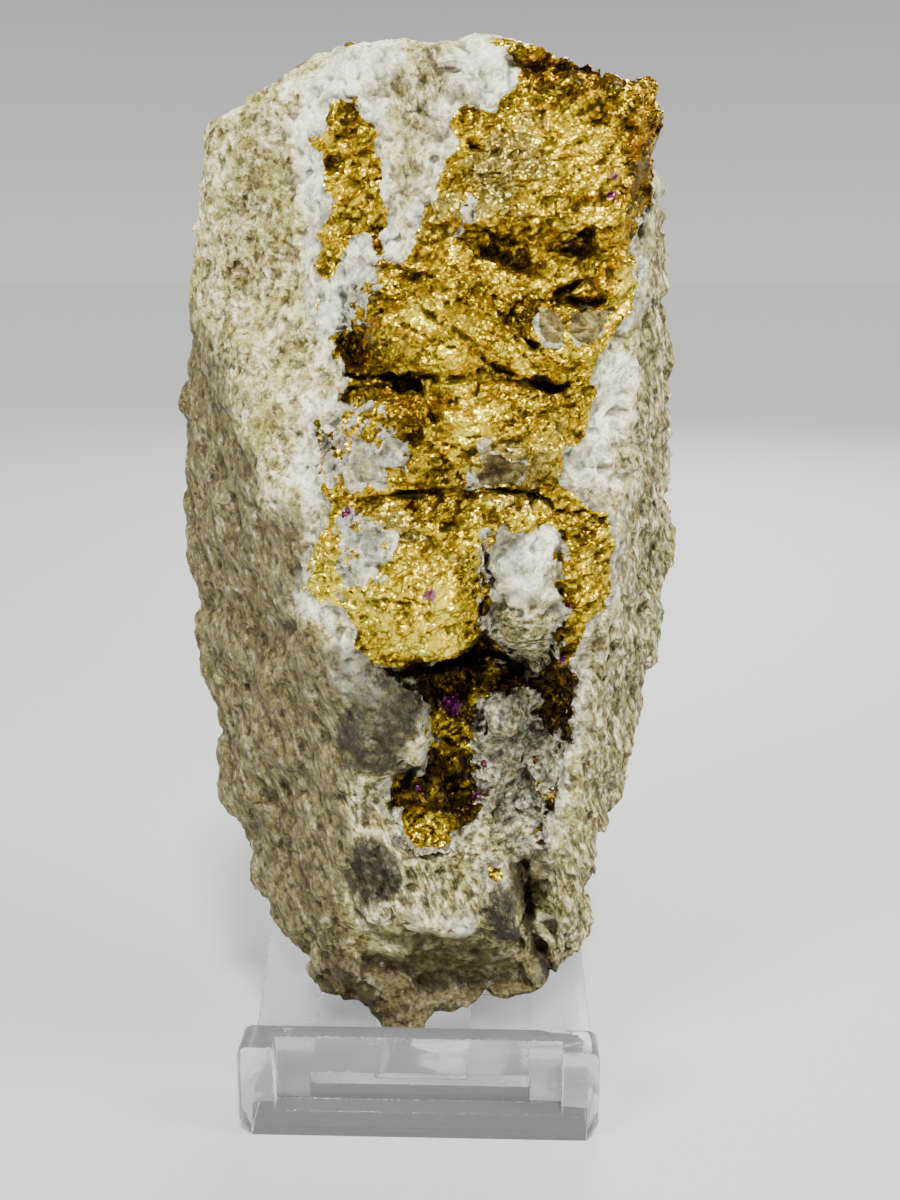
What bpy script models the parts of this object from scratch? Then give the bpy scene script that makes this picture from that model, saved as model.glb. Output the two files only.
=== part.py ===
"""A hand-sized chalcopyrite specimen leaning on a clear moulded display easel.

World frame: +X to the viewer's right, +Y away from the viewer, +Z up.
The origin is the middle of the easel's front foot, on the table.
"""

import math
from typing import NamedTuple

import bmesh
import bpy
import numpy as np
from mathutils import Matrix, Vector, noise

MM = 0.001

# Easel: driving sizes
LIP_WIDTH = 43 * MM
LIP_HEIGHT = 12 * MM
LIP_DEPTH = 4.7 * MM
FOOT_DEPTH = 14 * MM
FLOOR_THICKNESS = 2.5 * MM
RECESS_WIDTH = 34.4 * MM
RECESS_DEPTH = 2.4 * MM
RECESS_SILL = 3.5 * MM
WALL = 2.5 * MM
LEAN = math.radians(25)
BACKREST_HEIGHT = 40.5 * MM
BACKREST_FOOT_WIDTH = 44 * MM
BACKREST_TOP_WIDTH = 35 * MM
SLOT_WIDTH = 12 * MM
SLOT_TOP = 30 * MM
STRUT_WIDTH = 29 * MM
STRUT_FOOT_Y = 34 * MM
STEP_WIDTH = 27 * MM
STEP_TOP = 6 * MM
PAD_TOP = 10.8 * MM
PAD_THICKNESS = 0.8 * MM
CORNER_ROUND = 1.2 * MM
FOOT_CHAMFER = 1.3 * MM
FOOT_CHAMFER_HEIGHT = 2.3 * MM
TROUGH_BACK = 4 * MM
SLOT_FRONT = 3.4 * MM
APEX_DROP = 0.6 * MM
OVERLAP = 0.2 * MM

# Fit between the stone and the easel
CLEARANCE = 0.3 * MM

# Stone: meshing sizes
SECTION_STEP = 1.5 * MM
REMESH_SIZE = 1.1 * MM
STONE_TRIANGLES = 8600
STONE_FOOT = (STEP_TOP + CLEARANCE) / MM
STONE_TOP = 125.0
BULGE_SLOPE = 1.2

# Stone: its long edges from bottom to top, as (height, x, y) in millimetres
EDGES = {
    "front_left": [
        (6.4, -3.7, -0.1), (9.8, -5.0, -0.4), (10.8, -7.6, 1.8), (12, -8.6, 1.0), (16, -12.5, 1.0),
        (24, -12, -1.2), (35, -10, -2.5), (46, -9.4, -4), (58, -9.4, -5), (63, -12, -4),
        (67, -13, -3.5), (74, -15.6, -2), (80, -17, -0.5), (87, -19.1, 2), (92, -21.7, 5),
        (99, -24.8, 10), (108, -24.6, 8.5), (115, -23.2, 7.5), (118, -19.5, 6.5), (121, -13.2, 5.5),
        (123.6, -10, 4.8), (125, -6.5, 4.2),
    ],
    "front_mid": [
        (6.4, -3.2, -0.4), (9.8, -3.4, -1.0), (10.8, -2.6, -0.6), (13, 0, 0.4), (18, 4, -1.2),
        (24, 5, -2.6), (34, 5, -3.6), (46, 5, -4.6), (56, 5, -6), (62, 4.5, -7.5), (70, 4, -8),
        (80, 4, -8), (92, 3, -7), (100, 2, -4.5), (106, 1.5, -3), (116, 1, -0.6), (123, 1.5, 1),
        (125, 1.5, 2.4),
    ],
    "front_right": [
        (6.4, -2.7, -0.1), (9.8, -1.8, 0.0), (10.8, 1.4, 1.2), (12, 6.5, 1.6), (13.4, 13.6, 1.4),
        (15, 16.4, 1.2), (19, 17.8, 1.6), (29, 18.7, 1.2), (37, 19.8, 0.2), (45, 20.1, -1),
        (53, 20.3, -2.6), (60, 20.6, -4), (67, 21.2, -5.5), (76, 21.6, -5.8), (80, 22.9, -5),
        (88, 23.9, -4), (94, 23.4, -3.2), (102, 23.9, -1.6), (110, 24.8, 0.4), (118, 24.9, 2.2),
        (120.6, 24.2, 2.8), (121.4, 19, 3), (122.8, 12, 3), (124, 8.6, 3), (125, 6.5, 3),
    ],
    "right": [
        (6.4, -2.6, 0.6), (9.8, -1.4, 2.0), (10.8, 2.0, 4), (12, 7.5, 4.4), (13.4, 15, 5), (15, 18, 6),
        (17, 19.6, 7), (21, 20.6, 9), (26, 21, 10), (33, 23.1, 13), (38, 26.2, 14), (43, 27.3, 14),
        (55, 29.2, 15), (66, 30, 16), (75, 30.8, 16), (86, 30.2, 16), (94, 29.6, 15), (103, 28.2, 14),
        (109, 26.7, 10.5), (114, 25.9, 9), (118, 25.6, 8), (120.6, 24.6, 8), (121.4, 19.4, 8),
        (122.8, 12.5, 7.5), (124, 9.4, 7), (125, 7, 7),
    ],
    "back_right": [
        (6.4, -2.9, 1.2), (9.8, -1.8, 3.4), (10.8, 1.6, 6.2), (12, 6.5, 7), (14, 13, 8.6),
        (18, 16, 10.6), (24, 17.5, 13.3), (32, 19, 17), (42, 22, 21.5), (50, 23, 27), (60, 23, 31),
        (72, 21.5, 32.5), (84, 21.5, 31), (96, 20, 29.5), (108, 18.5, 26.5), (116, 16, 21),
        (121, 12.5, 15), (125, 6, 10),
    ],
    "back": [
        (6.4, -3.2, 1.3), (9.8, -3.4, 3.8), (10.8, -3, 6.4), (16, 0.5, 9.8), (24, 1, 13.5),
        (32, 1, 17.2), (42, 1.5, 21.9), (50, 2, 29), (60, 3, 33.2), (70, 2.5, 34.2), (84, 1, 33),
        (96, 2.5, 31.2), (108, 1, 28), (116, 0.5, 23), (121, 0, 17), (125, 0.5, 10.6),
    ],
    "back_left": [
        (6.4, -3.6, 1.2), (9.8, -5.0, 3.4), (10.8, -8, 6.2), (12, -10.6, 7), (16, -14.4, 9.4),
        (24, -18, 13), (32, -19.5, 16.8), (42, -20.5, 21.3), (50, -21, 26), (60, -20.5, 29.5),
        (72, -20.5, 31), (84, -19.5, 30), (96, -19, 28), (108, -16.5, 24.5), (116, -12.5, 20),
        (121, -8, 15), (125, -4.5, 9.5),
    ],
    "left": [
        (6.4, -3.8, 0.6), (9.8, -5.3, 1.8), (10.8, -10.4, 3.8), (12, -14, 4.8), (15.4, -18, 7),
        (18, -20.4, 8), (24, -23.6, 9.5), (29, -25, 11), (34, -26.8, 12.4), (47, -28.4, 14),
        (54, -29.6, 15), (57, -30.4, 15), (60, -29.4, 15.6), (70, -31.2, 17.5), (80, -31.5, 18),
        (92, -29.9, 17.5), (100, -28.6, 17), (108, -27, 15.5), (115, -25.4, 13.5), (118, -21, 12.5),
        (121, -14.2, 11), (123.6, -10.6, 9), (125, -7, 8),
    ],
}

# Points around a section between one edge and the next
SIDE_POINTS = 14

# Points of one rounded corner of the easel, and the distance at which loose points are joined
CORNER_STEPS = 5
JOIN_DISTANCE = 0.001 * MM


class Block(NamedTuple):
    """A raised or sunken piece of the stone's front; all lengths in millimetres.

    Its face stands `rise` out from the front at `centre` (x, height) and tilts by
    `tilt` (extra rise per millimetre to the right, and upwards). Its walls start
    at `base` on the outline and climb, or fall, by `wall` per millimetre inwards.
    """

    outline: list
    rise: float
    centre: tuple
    tilt: tuple = (0, 0)
    wall: float = 2.0
    base: float = 0.0


RAISED = {
    "upper_face": Block(
        [(8, 122), (24.6, 121), (25, 113), (24.4, 107), (22.6, 103.6), (12, 102.4), (5, 104.4),
         (0.4, 106.4), (2.4, 110), (4, 116), (8, 116.6), (9.6, 119.4)],
        2.6, (14, 112), (0.03, -0.12)),
    "nose": Block(
        [(-7, 101.6), (-1, 102.6), (3.4, 101.8), (7, 100.8), (10.8, 98.3), (12.6, 94), (16.6, 90.2),
         (12.8, 90.2), (7, 91.6), (3.6, 90), (-6.4, 90.6), (-7.2, 95.4)],
        6.4, (3, 95), (0, -0.55), 3.2),
    "right_middle": Block(
        [(10.5, 99), (14.8, 97.8), (19.2, 98.6), (20.4, 93.8), (18.8, 90), (12, 89.6), (10, 93.8)],
        3.4, (15, 94), (-0.05, -0.2)),
    "bright_chunk": Block(
        [(19, 103), (23, 102), (22.8, 99), (19.6, 97.8), (18, 99.8)],
        3.0, (20.6, 100)),
    "knob": Block(
        [(-9, 97), (-6.4, 97.4), (-5.4, 94.4), (-7, 92.8), (-9, 94.2)],
        2.4, (-7.4, 95.2), wall=1.6),
    "second_tier": Block(
        [(-6.4, 89.8), (3, 89.4), (7, 90.6), (12.8, 89.4), (18.4, 88.8), (18.2, 86), (15.6, 83),
         (15.2, 79.6), (5, 78.6), (-8.4, 78.8), (-7.6, 86.4)],
        4.2, (5, 84), (0.07, 0.05)),
    "lower_block": Block(
        [(-9, 78.6), (-1, 78.2), (8, 79), (15, 76.8), (20.6, 76), (20.9, 72), (14, 74.6), (8, 73),
         (8.4, 68), (7, 64.2), (3.9, 60.8), (-2, 59), (-5, 60.4), (-7.6, 67), (-10, 67), (-11.6, 69.6),
         (-10.2, 74)],
        5.4, (2, 69), (0.12, -0.16), 2.6),
    "white_patch": Block(
        [(7.6, 73), (16, 75.6), (15, 70.8), (16, 67), (15.6, 62), (12, 60), (8, 61.4), (8.4, 68)],
        2.8, (12, 68), (-0.05, -0.05)),
    "right_gold": Block(
        [(15.4, 75), (21, 75.4), (21.6, 67), (19.4, 64), (17, 61), (15.4, 61.4), (16, 67)],
        2.0, (18, 70), (0, 0.02)),
    "blue_grey_lump": Block(
        [(-9, 59), (-3.4, 59), (1.6, 54), (1.4, 46.6), (-4, 44), (-9, 47)],
        1.2, (-4, 53), wall=0.8),
    "right_rib": Block([(16, 58), (20.4, 58), (20.4, 38), (16.4, 38)], 1.0, (18.4, 48), wall=0.8),
    "low_facet": Block(
        [(-9, 37.6), (-4.8, 38), (-0.4, 35), (-0.4, 29.6), (-5, 26), (-9, 25.4)],
        1.4, (-5, 32), (0.2, 0.1)),
    "tooth": Block(
        [(6.2, 34.4), (12, 34.4), (12.2, 24), (9.6, 24.6), (6.8, 28)],
        3.0, (9.4, 29), (-0.1, -0.1), 2.4),
    "low_ledge": Block(
        [(-9, 29), (6.6, 29.4), (6.6, 25), (-2, 23.8), (-9, 24.6)],
        1.8, (-1, 27), (0, -0.15)),
    "right_matrix": Block(
        [(16.2, 36), (21, 36), (20.6, 25), (19.4, 18), (16.8, 18.6)],
        1.8, (18.4, 27)),
}

SUNKEN = {
    "notch_left": Block(
        [(4.6, 105.4), (9, 105), (12.8, 103.4), (13, 100.4), (10, 100.6), (7.4, 102.6)],
        -2.2, (9, 103)),
    "notch_right": Block(
        [(13.4, 104.4), (16.4, 105), (19, 103), (18.4, 100.6), (14.6, 101.4)],
        -1.6, (16, 103)),
    "mid_notch": Block(
        [(11.8, 99.6), (17.6, 99), (18.4, 97), (16, 95.4), (12.6, 97)],
        -1.4, (15, 97.4)),
    "cavity": Block(
        [(-3.6, 58.6), (4, 60.4), (8, 62), (10, 60), (16, 59), (18, 52), (16.4, 43), (15, 35.6),
         (9.6, 34), (2.4, 34), (-2.4, 36), (-4, 43), (0.6, 48), (1, 54)],
        -6.0, (6, 52), (0, -0.09), 2.6),
    "low_underside": Block(
        [(-3, 24.4), (12, 24.4), (13, 16), (6, 13.4), (0, 14)],
        -1.6, (5, 19), wall=1.4),
    "groove": Block(
        [(12, 35), (14, 35), (16.6, 26), (17, 17), (13, 17), (12.2, 25)],
        -3.4, (14, 26), wall=3.0),
}

# Lumps of quartz that stand up from the floor of the cavity
CAVITY_LUMPS = {
    "upper_lump": Block(
        [(6.4, 55.4), (13, 55), (13.6, 47), (6.6, 46)],
        -1.6, (10, 51), wall=1.6, base=-5),
    "lower_lump": Block(
        [(6.4, 47), (13.4, 46.4), (12.4, 40), (8, 40)],
        -2.2, (10, 43), wall=1.6, base=-5),
    "left_bulge": Block(
        [(-4, 50), (1, 49), (4, 42), (2, 37), (-4, 38)],
        -3.4, (0, 43), wall=1.2, base=-5),
}

# Broken surface all over: chip size and depth of each level, in millimetres
FRACTURE_LEVELS = [(24, 1.5), (11, 0.8), (5, 0.35)]

# Widest rounded edge between two chips, as a share of their size, and the narrowest
CHIP_EDGE = 0.22
NARROWEST_CHIP_EDGE = 0.02

# How far neighbouring chips step in and out, as a share of their depth
CHIP_STEP = 0.7

# Where the tilt and the step of each chip are read in the noise
TILT_SEED = 7.3
STEP_SEED = 3.1
STEP_SHIFT = Vector((5.2, 1.7, 9.4))


def new_collection(name):
    """Add a collection to the scene."""
    collection = bpy.data.collections.new(name)
    bpy.context.scene.collection.children.link(collection)
    return collection


def add_object(name, mesh, collection):
    """Put a mesh in the scene as a named object."""
    thing = bpy.data.objects.new(name, mesh)
    collection.objects.link(thing)
    return thing


def make_material(name, colour, roughness, metallic=0.0, transmission=0.0):
    """Make a Principled material."""
    material = bpy.data.materials.new(name)
    material.use_nodes = True
    shader = material.node_tree.nodes["Principled BSDF"]
    shader.inputs["Base Color"].default_value = (*colour, 1)
    shader.inputs["Roughness"].default_value = roughness
    shader.inputs["Metallic"].default_value = metallic
    shader.inputs["Transmission Weight"].default_value = transmission
    return material


def boolean(target, cutter, operation):
    """Join a shape to a piece or cut it away, and leave the other shape hidden."""
    modifier = target.modifiers.new(f"{operation.lower()}_{cutter.name}", "BOOLEAN")
    modifier.operation = operation
    modifier.object = cutter
    cutter.hide_render = True
    cutter.display_type = "WIRE"


def add_box(name, low, high, collection):
    """Add a box between two corners."""
    mesh = bpy.data.meshes.new(name)
    box = bmesh.new()
    bmesh.ops.create_cube(box, size=1)
    size = Vector(high) - Vector(low)
    bmesh.ops.scale(box, vec=size, verts=box.verts)
    bmesh.ops.translate(box, vec=(Vector(high) + Vector(low)) / 2, verts=box.verts)
    box.to_mesh(mesh)
    box.free()
    return add_object(name, mesh, collection)


def add_plate(name, outline, thickness, collection):
    """Add a flat outline in the X-Z plane, thickened towards +Y."""
    curve = bpy.data.curves.new(name, "CURVE")
    curve.dimensions = "2D"
    curve.fill_mode = "BOTH"
    curve.extrude = thickness / 2
    spline = curve.splines.new("POLY")
    spline.points.add(len(outline) - 1)
    for point, (x, z) in zip(spline.points, outline):
        point.co = (x, z, 0, 1)
    spline.use_cyclic_u = True
    guide = add_object(f"{name}_outline", curve, collection)
    graph = bpy.context.evaluated_depsgraph_get()
    mesh = bpy.data.meshes.new_from_object(guide.evaluated_get(graph))
    bpy.data.objects.remove(guide)
    plate = bmesh.new()
    plate.from_mesh(mesh)
    bmesh.ops.remove_doubles(plate, verts=plate.verts, dist=JOIN_DISTANCE)
    bmesh.ops.rotate(plate, matrix=Matrix.Rotation(math.radians(90), 3, "X"), verts=plate.verts)
    bmesh.ops.translate(plate, vec=(0, thickness / 2, 0), verts=plate.verts)
    plate.to_mesh(mesh)
    plate.free()
    return add_object(name, mesh, collection)


def rounded_corner(x, z, radius, start_angle):
    """Return points of a quarter circle about (x, z), from a start angle in degrees."""
    angles = [math.radians(start_angle + 90 * step / CORNER_STEPS) for step in range(CORNER_STEPS + 1)]
    return [(x + radius * math.cos(angle), z + radius * math.sin(angle)) for angle in angles]


def backrest_front(height):
    """Return the backrest's front face in Y at a height."""
    return TROUGH_BACK + (height - FLOOR_THICKNESS) * math.tan(LEAN)


def build_easel(parts, cutters):
    """Build the one-piece clear easel."""
    half_lip = LIP_WIDTH / 2
    lip_outline = [
        (-half_lip, FOOT_CHAMFER_HEIGHT), (-half_lip + FOOT_CHAMFER, 0),
        (half_lip - FOOT_CHAMFER, 0), (half_lip, FOOT_CHAMFER_HEIGHT),
        *rounded_corner(half_lip - CORNER_ROUND, LIP_HEIGHT - CORNER_ROUND, CORNER_ROUND, 0),
        *rounded_corner(-half_lip + CORNER_ROUND, LIP_HEIGHT - CORNER_ROUND, CORNER_ROUND, 90),
    ]
    easel = add_plate("display_easel", lip_outline, LIP_DEPTH, parts)
    foot_front = -FOOT_DEPTH / 2
    easel.location.y = foot_front

    half_foot = half_lip - FOOT_CHAMFER
    lip_back = foot_front + LIP_DEPTH - OVERLAP
    floor = add_box("floor", (-half_foot, lip_back, 0),
                    (half_foot, FOOT_DEPTH / 2, FLOOR_THICKNESS), cutters)
    step = add_box("step", (-STEP_WIDTH / 2, lip_back, FLOOR_THICKNESS / 2),
                   (STEP_WIDTH / 2, backrest_front(STEP_TOP) + OVERLAP, STEP_TOP), cutters)

    slope = (BACKREST_HEIGHT - FLOOR_THICKNESS) / math.cos(LEAN)
    half_foot_width = BACKREST_FOOT_WIDTH / 2
    half_top_width = BACKREST_TOP_WIDTH / 2
    backrest = add_plate("backrest", [
        (-half_foot_width, -WALL / 2), (half_foot_width, -WALL / 2),
        *rounded_corner(half_top_width - CORNER_ROUND, slope - CORNER_ROUND, CORNER_ROUND, 0),
        *rounded_corner(-half_top_width + CORNER_ROUND, slope - CORNER_ROUND, CORNER_ROUND, 90),
    ], WALL, cutters)
    pad_slope = (PAD_TOP - FLOOR_THICKNESS) / math.cos(LEAN)
    pad = add_plate("pad", [
        (-STEP_WIDTH / 2, 0), (STEP_WIDTH / 2, 0),
        (STEP_WIDTH / 2, pad_slope), (-STEP_WIDTH / 2, pad_slope),
    ], PAD_THICKNESS + OVERLAP, cutters)
    for plate in (backrest, pad):
        plate.location = (0, TROUGH_BACK, FLOOR_THICKNESS)
        plate.rotation_euler.x = -LEAN
    pad.location.y -= PAD_THICKNESS / math.cos(LEAN)

    apex_y = backrest_front(BACKREST_HEIGHT) + WALL
    strut_lean = math.atan((STRUT_FOOT_Y - apex_y) / BACKREST_HEIGHT)
    strut_length = BACKREST_HEIGHT / math.cos(strut_lean)
    strut = add_plate("strut", [
        (-STRUT_WIDTH / 2, -WALL), (STRUT_WIDTH / 2, -WALL),
        (STRUT_WIDTH / 2, strut_length - APEX_DROP), (-STRUT_WIDTH / 2, strut_length - APEX_DROP),
    ], WALL, cutters)
    strut.location = (0, STRUT_FOOT_Y - WALL / math.cos(strut_lean), 0)
    strut.rotation_euler.x = strut_lean

    for shape in (floor, step, pad, backrest, strut):
        boolean(easel, shape, "UNION")

    recess = add_box("label_recess", (-RECESS_WIDTH / 2, -FOOT_DEPTH, RECESS_SILL),
                     (RECESS_WIDTH / 2, foot_front + RECESS_DEPTH, 2 * LIP_HEIGHT), cutters)
    slot = add_box("slot", (-SLOT_WIDTH / 2, SLOT_FRONT, FLOOR_THICKNESS),
                   (SLOT_WIDTH / 2, 2 * STRUT_FOOT_Y, SLOT_TOP), cutters)
    table = add_box("table_level", (-LIP_WIDTH, -LIP_WIDTH, -LIP_WIDTH), (LIP_WIDTH, LIP_WIDTH, 0), cutters)
    for shape in (recess, slot, table):
        boolean(easel, shape, "DIFFERENCE")
    easel.data.materials.append(make_material("clear plastic", (0.9, 0.92, 0.93), 0.12, transmission=1.0))
    return easel


def polygon_inside(x, z, outline):
    """Return the distance inside a polygon, negative outside, in the polygon's units."""
    nearest = math.inf
    inside = False
    for (x1, z1), (x2, z2) in zip(outline, outline[1:] + outline[:1]):
        along_x, along_z = x2 - x1, z2 - z1
        share = ((x - x1) * along_x + (z - z1) * along_z) / (along_x ** 2 + along_z ** 2)
        share = min(max(share, 0), 1)
        nearest = min(nearest, math.hypot(x - x1 - share * along_x, z - z1 - share * along_z))
        if (z1 > z) != (z2 > z) and x < x1 + (z - z1) / along_z * along_x:
            inside = not inside
    return nearest if inside else -nearest


def front_relief(x, z):
    """Return how far the stone's front stands out at a place, in millimetres."""
    relief = 0.0
    for block in RAISED.values():
        relief = max(relief, raised_height(block, x, z, 0.0))
    for block in SUNKEN.values():
        inside = polygon_inside(x, z, block.outline)
        if inside > 0:
            relief = min(relief, max(face_height(block, x, z), -block.wall * inside))
    for block in CAVITY_LUMPS.values():
        relief = max(relief, raised_height(block, x, z, relief))
    return relief


def face_height(block, x, z):
    """Return the height of a block's tilted face."""
    return block.rise + block.tilt[0] * (x - block.centre[0]) + block.tilt[1] * (z - block.centre[1])


def raised_height(block, x, z, outside):
    """Return a raised block's height, or the given value outside its outline."""
    inside = polygon_inside(x, z, block.outline)
    if inside <= 0:
        return outside
    return min(face_height(block, x, z), block.base + block.wall * inside)


def stone_section(height):
    """Return the points around the stone at a height, in millimetres."""
    corners = []
    for points in EDGES.values():
        heights, sideways, depths = np.array(points).T
        corners.append((np.interp(height, heights, sideways), np.interp(height, heights, depths)))
    front_left, front_mid, front_right = corners[:3]
    across = []
    for start, end in ((front_left, front_mid), (front_mid, front_right)):
        for share in np.linspace(0, 1, SIDE_POINTS, endpoint=False):
            across.append(tuple(np.array(start) * (1 - share) + np.array(end) * share))
    across.append(front_right)
    ring = [(x, y - front_relief(x, height)) for x, y in across]
    around = [ring[-1], *corners[3:], ring[0]]
    for start, end in zip(around, around[1:]):
        for share in np.linspace(0, 1, SIDE_POINTS, endpoint=False)[1:]:
            ring.append(tuple(np.array(start) * (1 - share) + np.array(end) * share))
        ring.append(end)
    return ring[:-1]


def stone_loft():
    """Build the stone's closed body from its sections."""
    heights = np.arange(STONE_FOOT, STONE_TOP, SECTION_STEP / MM)
    loft = bmesh.new()
    rings = []
    for height in [*heights, STONE_TOP]:
        rings.append([loft.verts.new((x, y, height)) for x, y in stone_section(height)])
    for lower, upper in zip(rings, rings[1:]):
        for index in range(len(lower)):
            after = (index + 1) % len(lower)
            loft.faces.new((lower[index], lower[after], upper[after], upper[index]))
    loft.faces.new(list(reversed(rings[0])))
    loft.faces.new(rings[-1])
    bmesh.ops.triangulate(loft, faces=[face for face in loft.faces if len(face.verts) > 4])
    bmesh.ops.scale(loft, vec=(MM, MM, MM), verts=loft.verts)
    bmesh.ops.recalc_face_normals(loft, faces=loft.faces)
    mesh = bpy.data.meshes.new("stone_loft")
    loft.to_mesh(mesh)
    loft.free()
    return mesh


def fracture_offset(point, size, depth):
    """Return the offset of a broken surface made of flat tilted chips.

    Chips blend only as far as the last of the nearest seeds, so no chip joins in with a jump.
    """
    distances, seeds = noise.voronoi(point / size)
    edge = max(min(CHIP_EDGE, distances[-1] - distances[0]), NARROWEST_CHIP_EDGE)
    total = 0.0
    weights = 0.0
    for distance, seed in zip(distances, seeds):
        weight = max(0.0, 1 - (distance - distances[0]) / edge) ** 2
        tilt = noise.cell_vector(seed * TILT_SEED)
        step = noise.cell(seed * STEP_SEED + STEP_SHIFT) - 0.5
        total += weight * ((point / size - seed).dot(tilt) + CHIP_STEP * step)
        weights += weight
    return depth * total / weights


def back_limit(height):
    """Return how far back the stone may reach at a height, clear of the easel."""
    clear_height = BACKREST_HEIGHT + CLEARANCE
    gap = CLEARANCE / math.cos(LEAN)
    if height < PAD_TOP + CLEARANCE:
        gap += PAD_THICKNESS / math.cos(LEAN)
    if height < clear_height:
        return backrest_front(height) - gap
    return backrest_front(clear_height) - gap + (height - clear_height) * BULGE_SLOPE


def evaluated_mesh(thing):
    """Return a copy of an object's mesh with its modifiers applied."""
    graph = bpy.context.evaluated_depsgraph_get()
    return bpy.data.meshes.new_from_object(thing.evaluated_get(graph))


def remesh_evenly(thing):
    """Rebuild a closed object's mesh with even faces."""
    remesh = thing.modifiers.new("even_mesh", "REMESH")
    remesh.mode = "VOXEL"
    remesh.voxel_size = REMESH_SIZE
    thing.data = evaluated_mesh(thing)
    thing.modifiers.clear()


def build_stone(parts):
    """Build the specimen: one natural stone."""
    stone = add_object("specimen", stone_loft(), parts)
    remesh_evenly(stone)
    for vertex in stone.data.vertices:
        point = vertex.co / MM
        offset = sum(fracture_offset(point, size, depth) for size, depth in FRACTURE_LEVELS)
        vertex.co += vertex.normal * offset * MM
    remesh_evenly(stone)
    decimate = stone.modifiers.new("fewer_triangles", "DECIMATE")
    triangles = sum(len(face.vertices) - 2 for face in stone.data.polygons)
    decimate.ratio = STONE_TRIANGLES / triangles
    stone.data = evaluated_mesh(stone)
    stone.modifiers.clear()
    for vertex in stone.data.vertices:
        vertex.co.y = min(vertex.co.y, back_limit(vertex.co.z))
        vertex.co.z = max(vertex.co.z, STONE_FOOT * MM)
    stone.data.materials.clear()
    stone.data.materials.append(make_material("chalcopyrite and quartz", (0.55, 0.47, 0.27), 0.5, 0.3))
    return stone


def main():
    """Clear the scene and build both pieces."""
    for thing in list(bpy.data.objects):
        bpy.data.objects.remove(thing)
    parts = new_collection("chalcopyrite_specimen")
    cutters = new_collection("construction_shapes")
    build_easel(parts, cutters)
    build_stone(parts)


main()
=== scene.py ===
"""A chalcopyrite specimen in quartz matrix, leaning on a clear moulded easel.

The stone is one piece, made fine from its own solid: brassy ore and sugary
quartz grown together. The easel is clear plastic with soft edges. Lengths are
in metres, and in millimetres where a name or a docstring says so.
"""

import logging
import math
from collections.abc import Iterable, Iterator
from dataclasses import dataclass, field
from enum import Enum
from itertools import product

import bpy
import numpy as np
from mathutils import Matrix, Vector


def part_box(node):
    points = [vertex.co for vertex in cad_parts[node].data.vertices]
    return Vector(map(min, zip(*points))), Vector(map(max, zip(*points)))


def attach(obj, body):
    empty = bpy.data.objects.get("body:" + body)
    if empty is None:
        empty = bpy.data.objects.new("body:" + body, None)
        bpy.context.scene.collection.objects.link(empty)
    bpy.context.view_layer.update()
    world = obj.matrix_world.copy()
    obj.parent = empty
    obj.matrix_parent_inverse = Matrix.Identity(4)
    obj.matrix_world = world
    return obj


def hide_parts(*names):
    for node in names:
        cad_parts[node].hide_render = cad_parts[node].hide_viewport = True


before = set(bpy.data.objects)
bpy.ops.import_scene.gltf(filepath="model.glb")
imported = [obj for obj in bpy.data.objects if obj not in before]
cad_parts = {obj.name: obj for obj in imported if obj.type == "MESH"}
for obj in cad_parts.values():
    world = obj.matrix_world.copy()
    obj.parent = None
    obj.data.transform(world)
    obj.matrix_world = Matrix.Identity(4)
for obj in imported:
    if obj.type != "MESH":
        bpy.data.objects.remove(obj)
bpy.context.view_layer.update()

log = logging.getLogger("specimen")

MM = 0.001
Points = list[tuple[float, float]]
Place = tuple[float, float, float]
Colour = tuple[float, float, float]
Socket = bpy.types.NodeSocket

# Degrees by which the ridges of the ore lean from the level and the streaks of the quartz from upright
RIDGE_SLOPE = 35
STREAK_SLOPE = 22


# Camera

@dataclass(frozen=True)
class Viewpoint:
    """The camera of the photograph."""

    place: Place = (0.0078, -0.1408, 0.1031)
    lens: float = 39.0
    pitch: float = math.radians(15.1)
    turn: float = math.radians(1.7)

    def build(self) -> bpy.types.Object:
        """Add the camera and make it the scene's own.

        Returns:
            The camera object.
        """
        data = bpy.data.cameras.new("camera")
        data.lens = self.lens
        data.sensor_width = 36.0
        data.clip_start = 0.01
        camera = bpy.data.objects.new("camera", data)
        camera.location = self.place
        camera.rotation_euler = (math.pi / 2 - self.pitch, 0.0, self.turn)
        bpy.context.scene.collection.objects.link(camera)
        bpy.context.scene.camera = camera
        return camera

    def picture(self, points: np.ndarray, plane_y: float = -8.0) -> np.ndarray:
        """Carry points along their lines of sight to an upright plane.

        Args:
            points: Places in millimetres, one a row.
            plane_y: The plane's Y in millimetres.

        Returns:
            The (x, z) of each point on the plane, in millimetres.
        """
        eye = np.array(self.place) / MM
        share = (plane_y - eye[1]) / np.minimum(points[:, 1] - eye[1], 400.0)
        flat = eye + (points - eye) * share[:, None]
        return flat[:, [0, 2]]


# Outlines on the front, in millimetres on the picture plane

class Zone(Enum):
    """Named areas of the stone's front that differ in colour or texture; some of them are painted
    highlight or painted shade.
    """

    TAN = "tan"
    GREEN = "green_and_shade"
    MILKY = "milky"
    PAINTED_HIGHLIGHT = "painted_highlight"
    TARNISH_AND_SHADE = "tarnish_and_shade"
    CAVITY = "cavity"
    MIXED = "mixed"
    GREY_AND_SHADE = "grey_and_shade"
    STAINED_AND_SHADED = "stained_and_shaded"
    DULL = "dull"
    GLINT = "glint"


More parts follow.
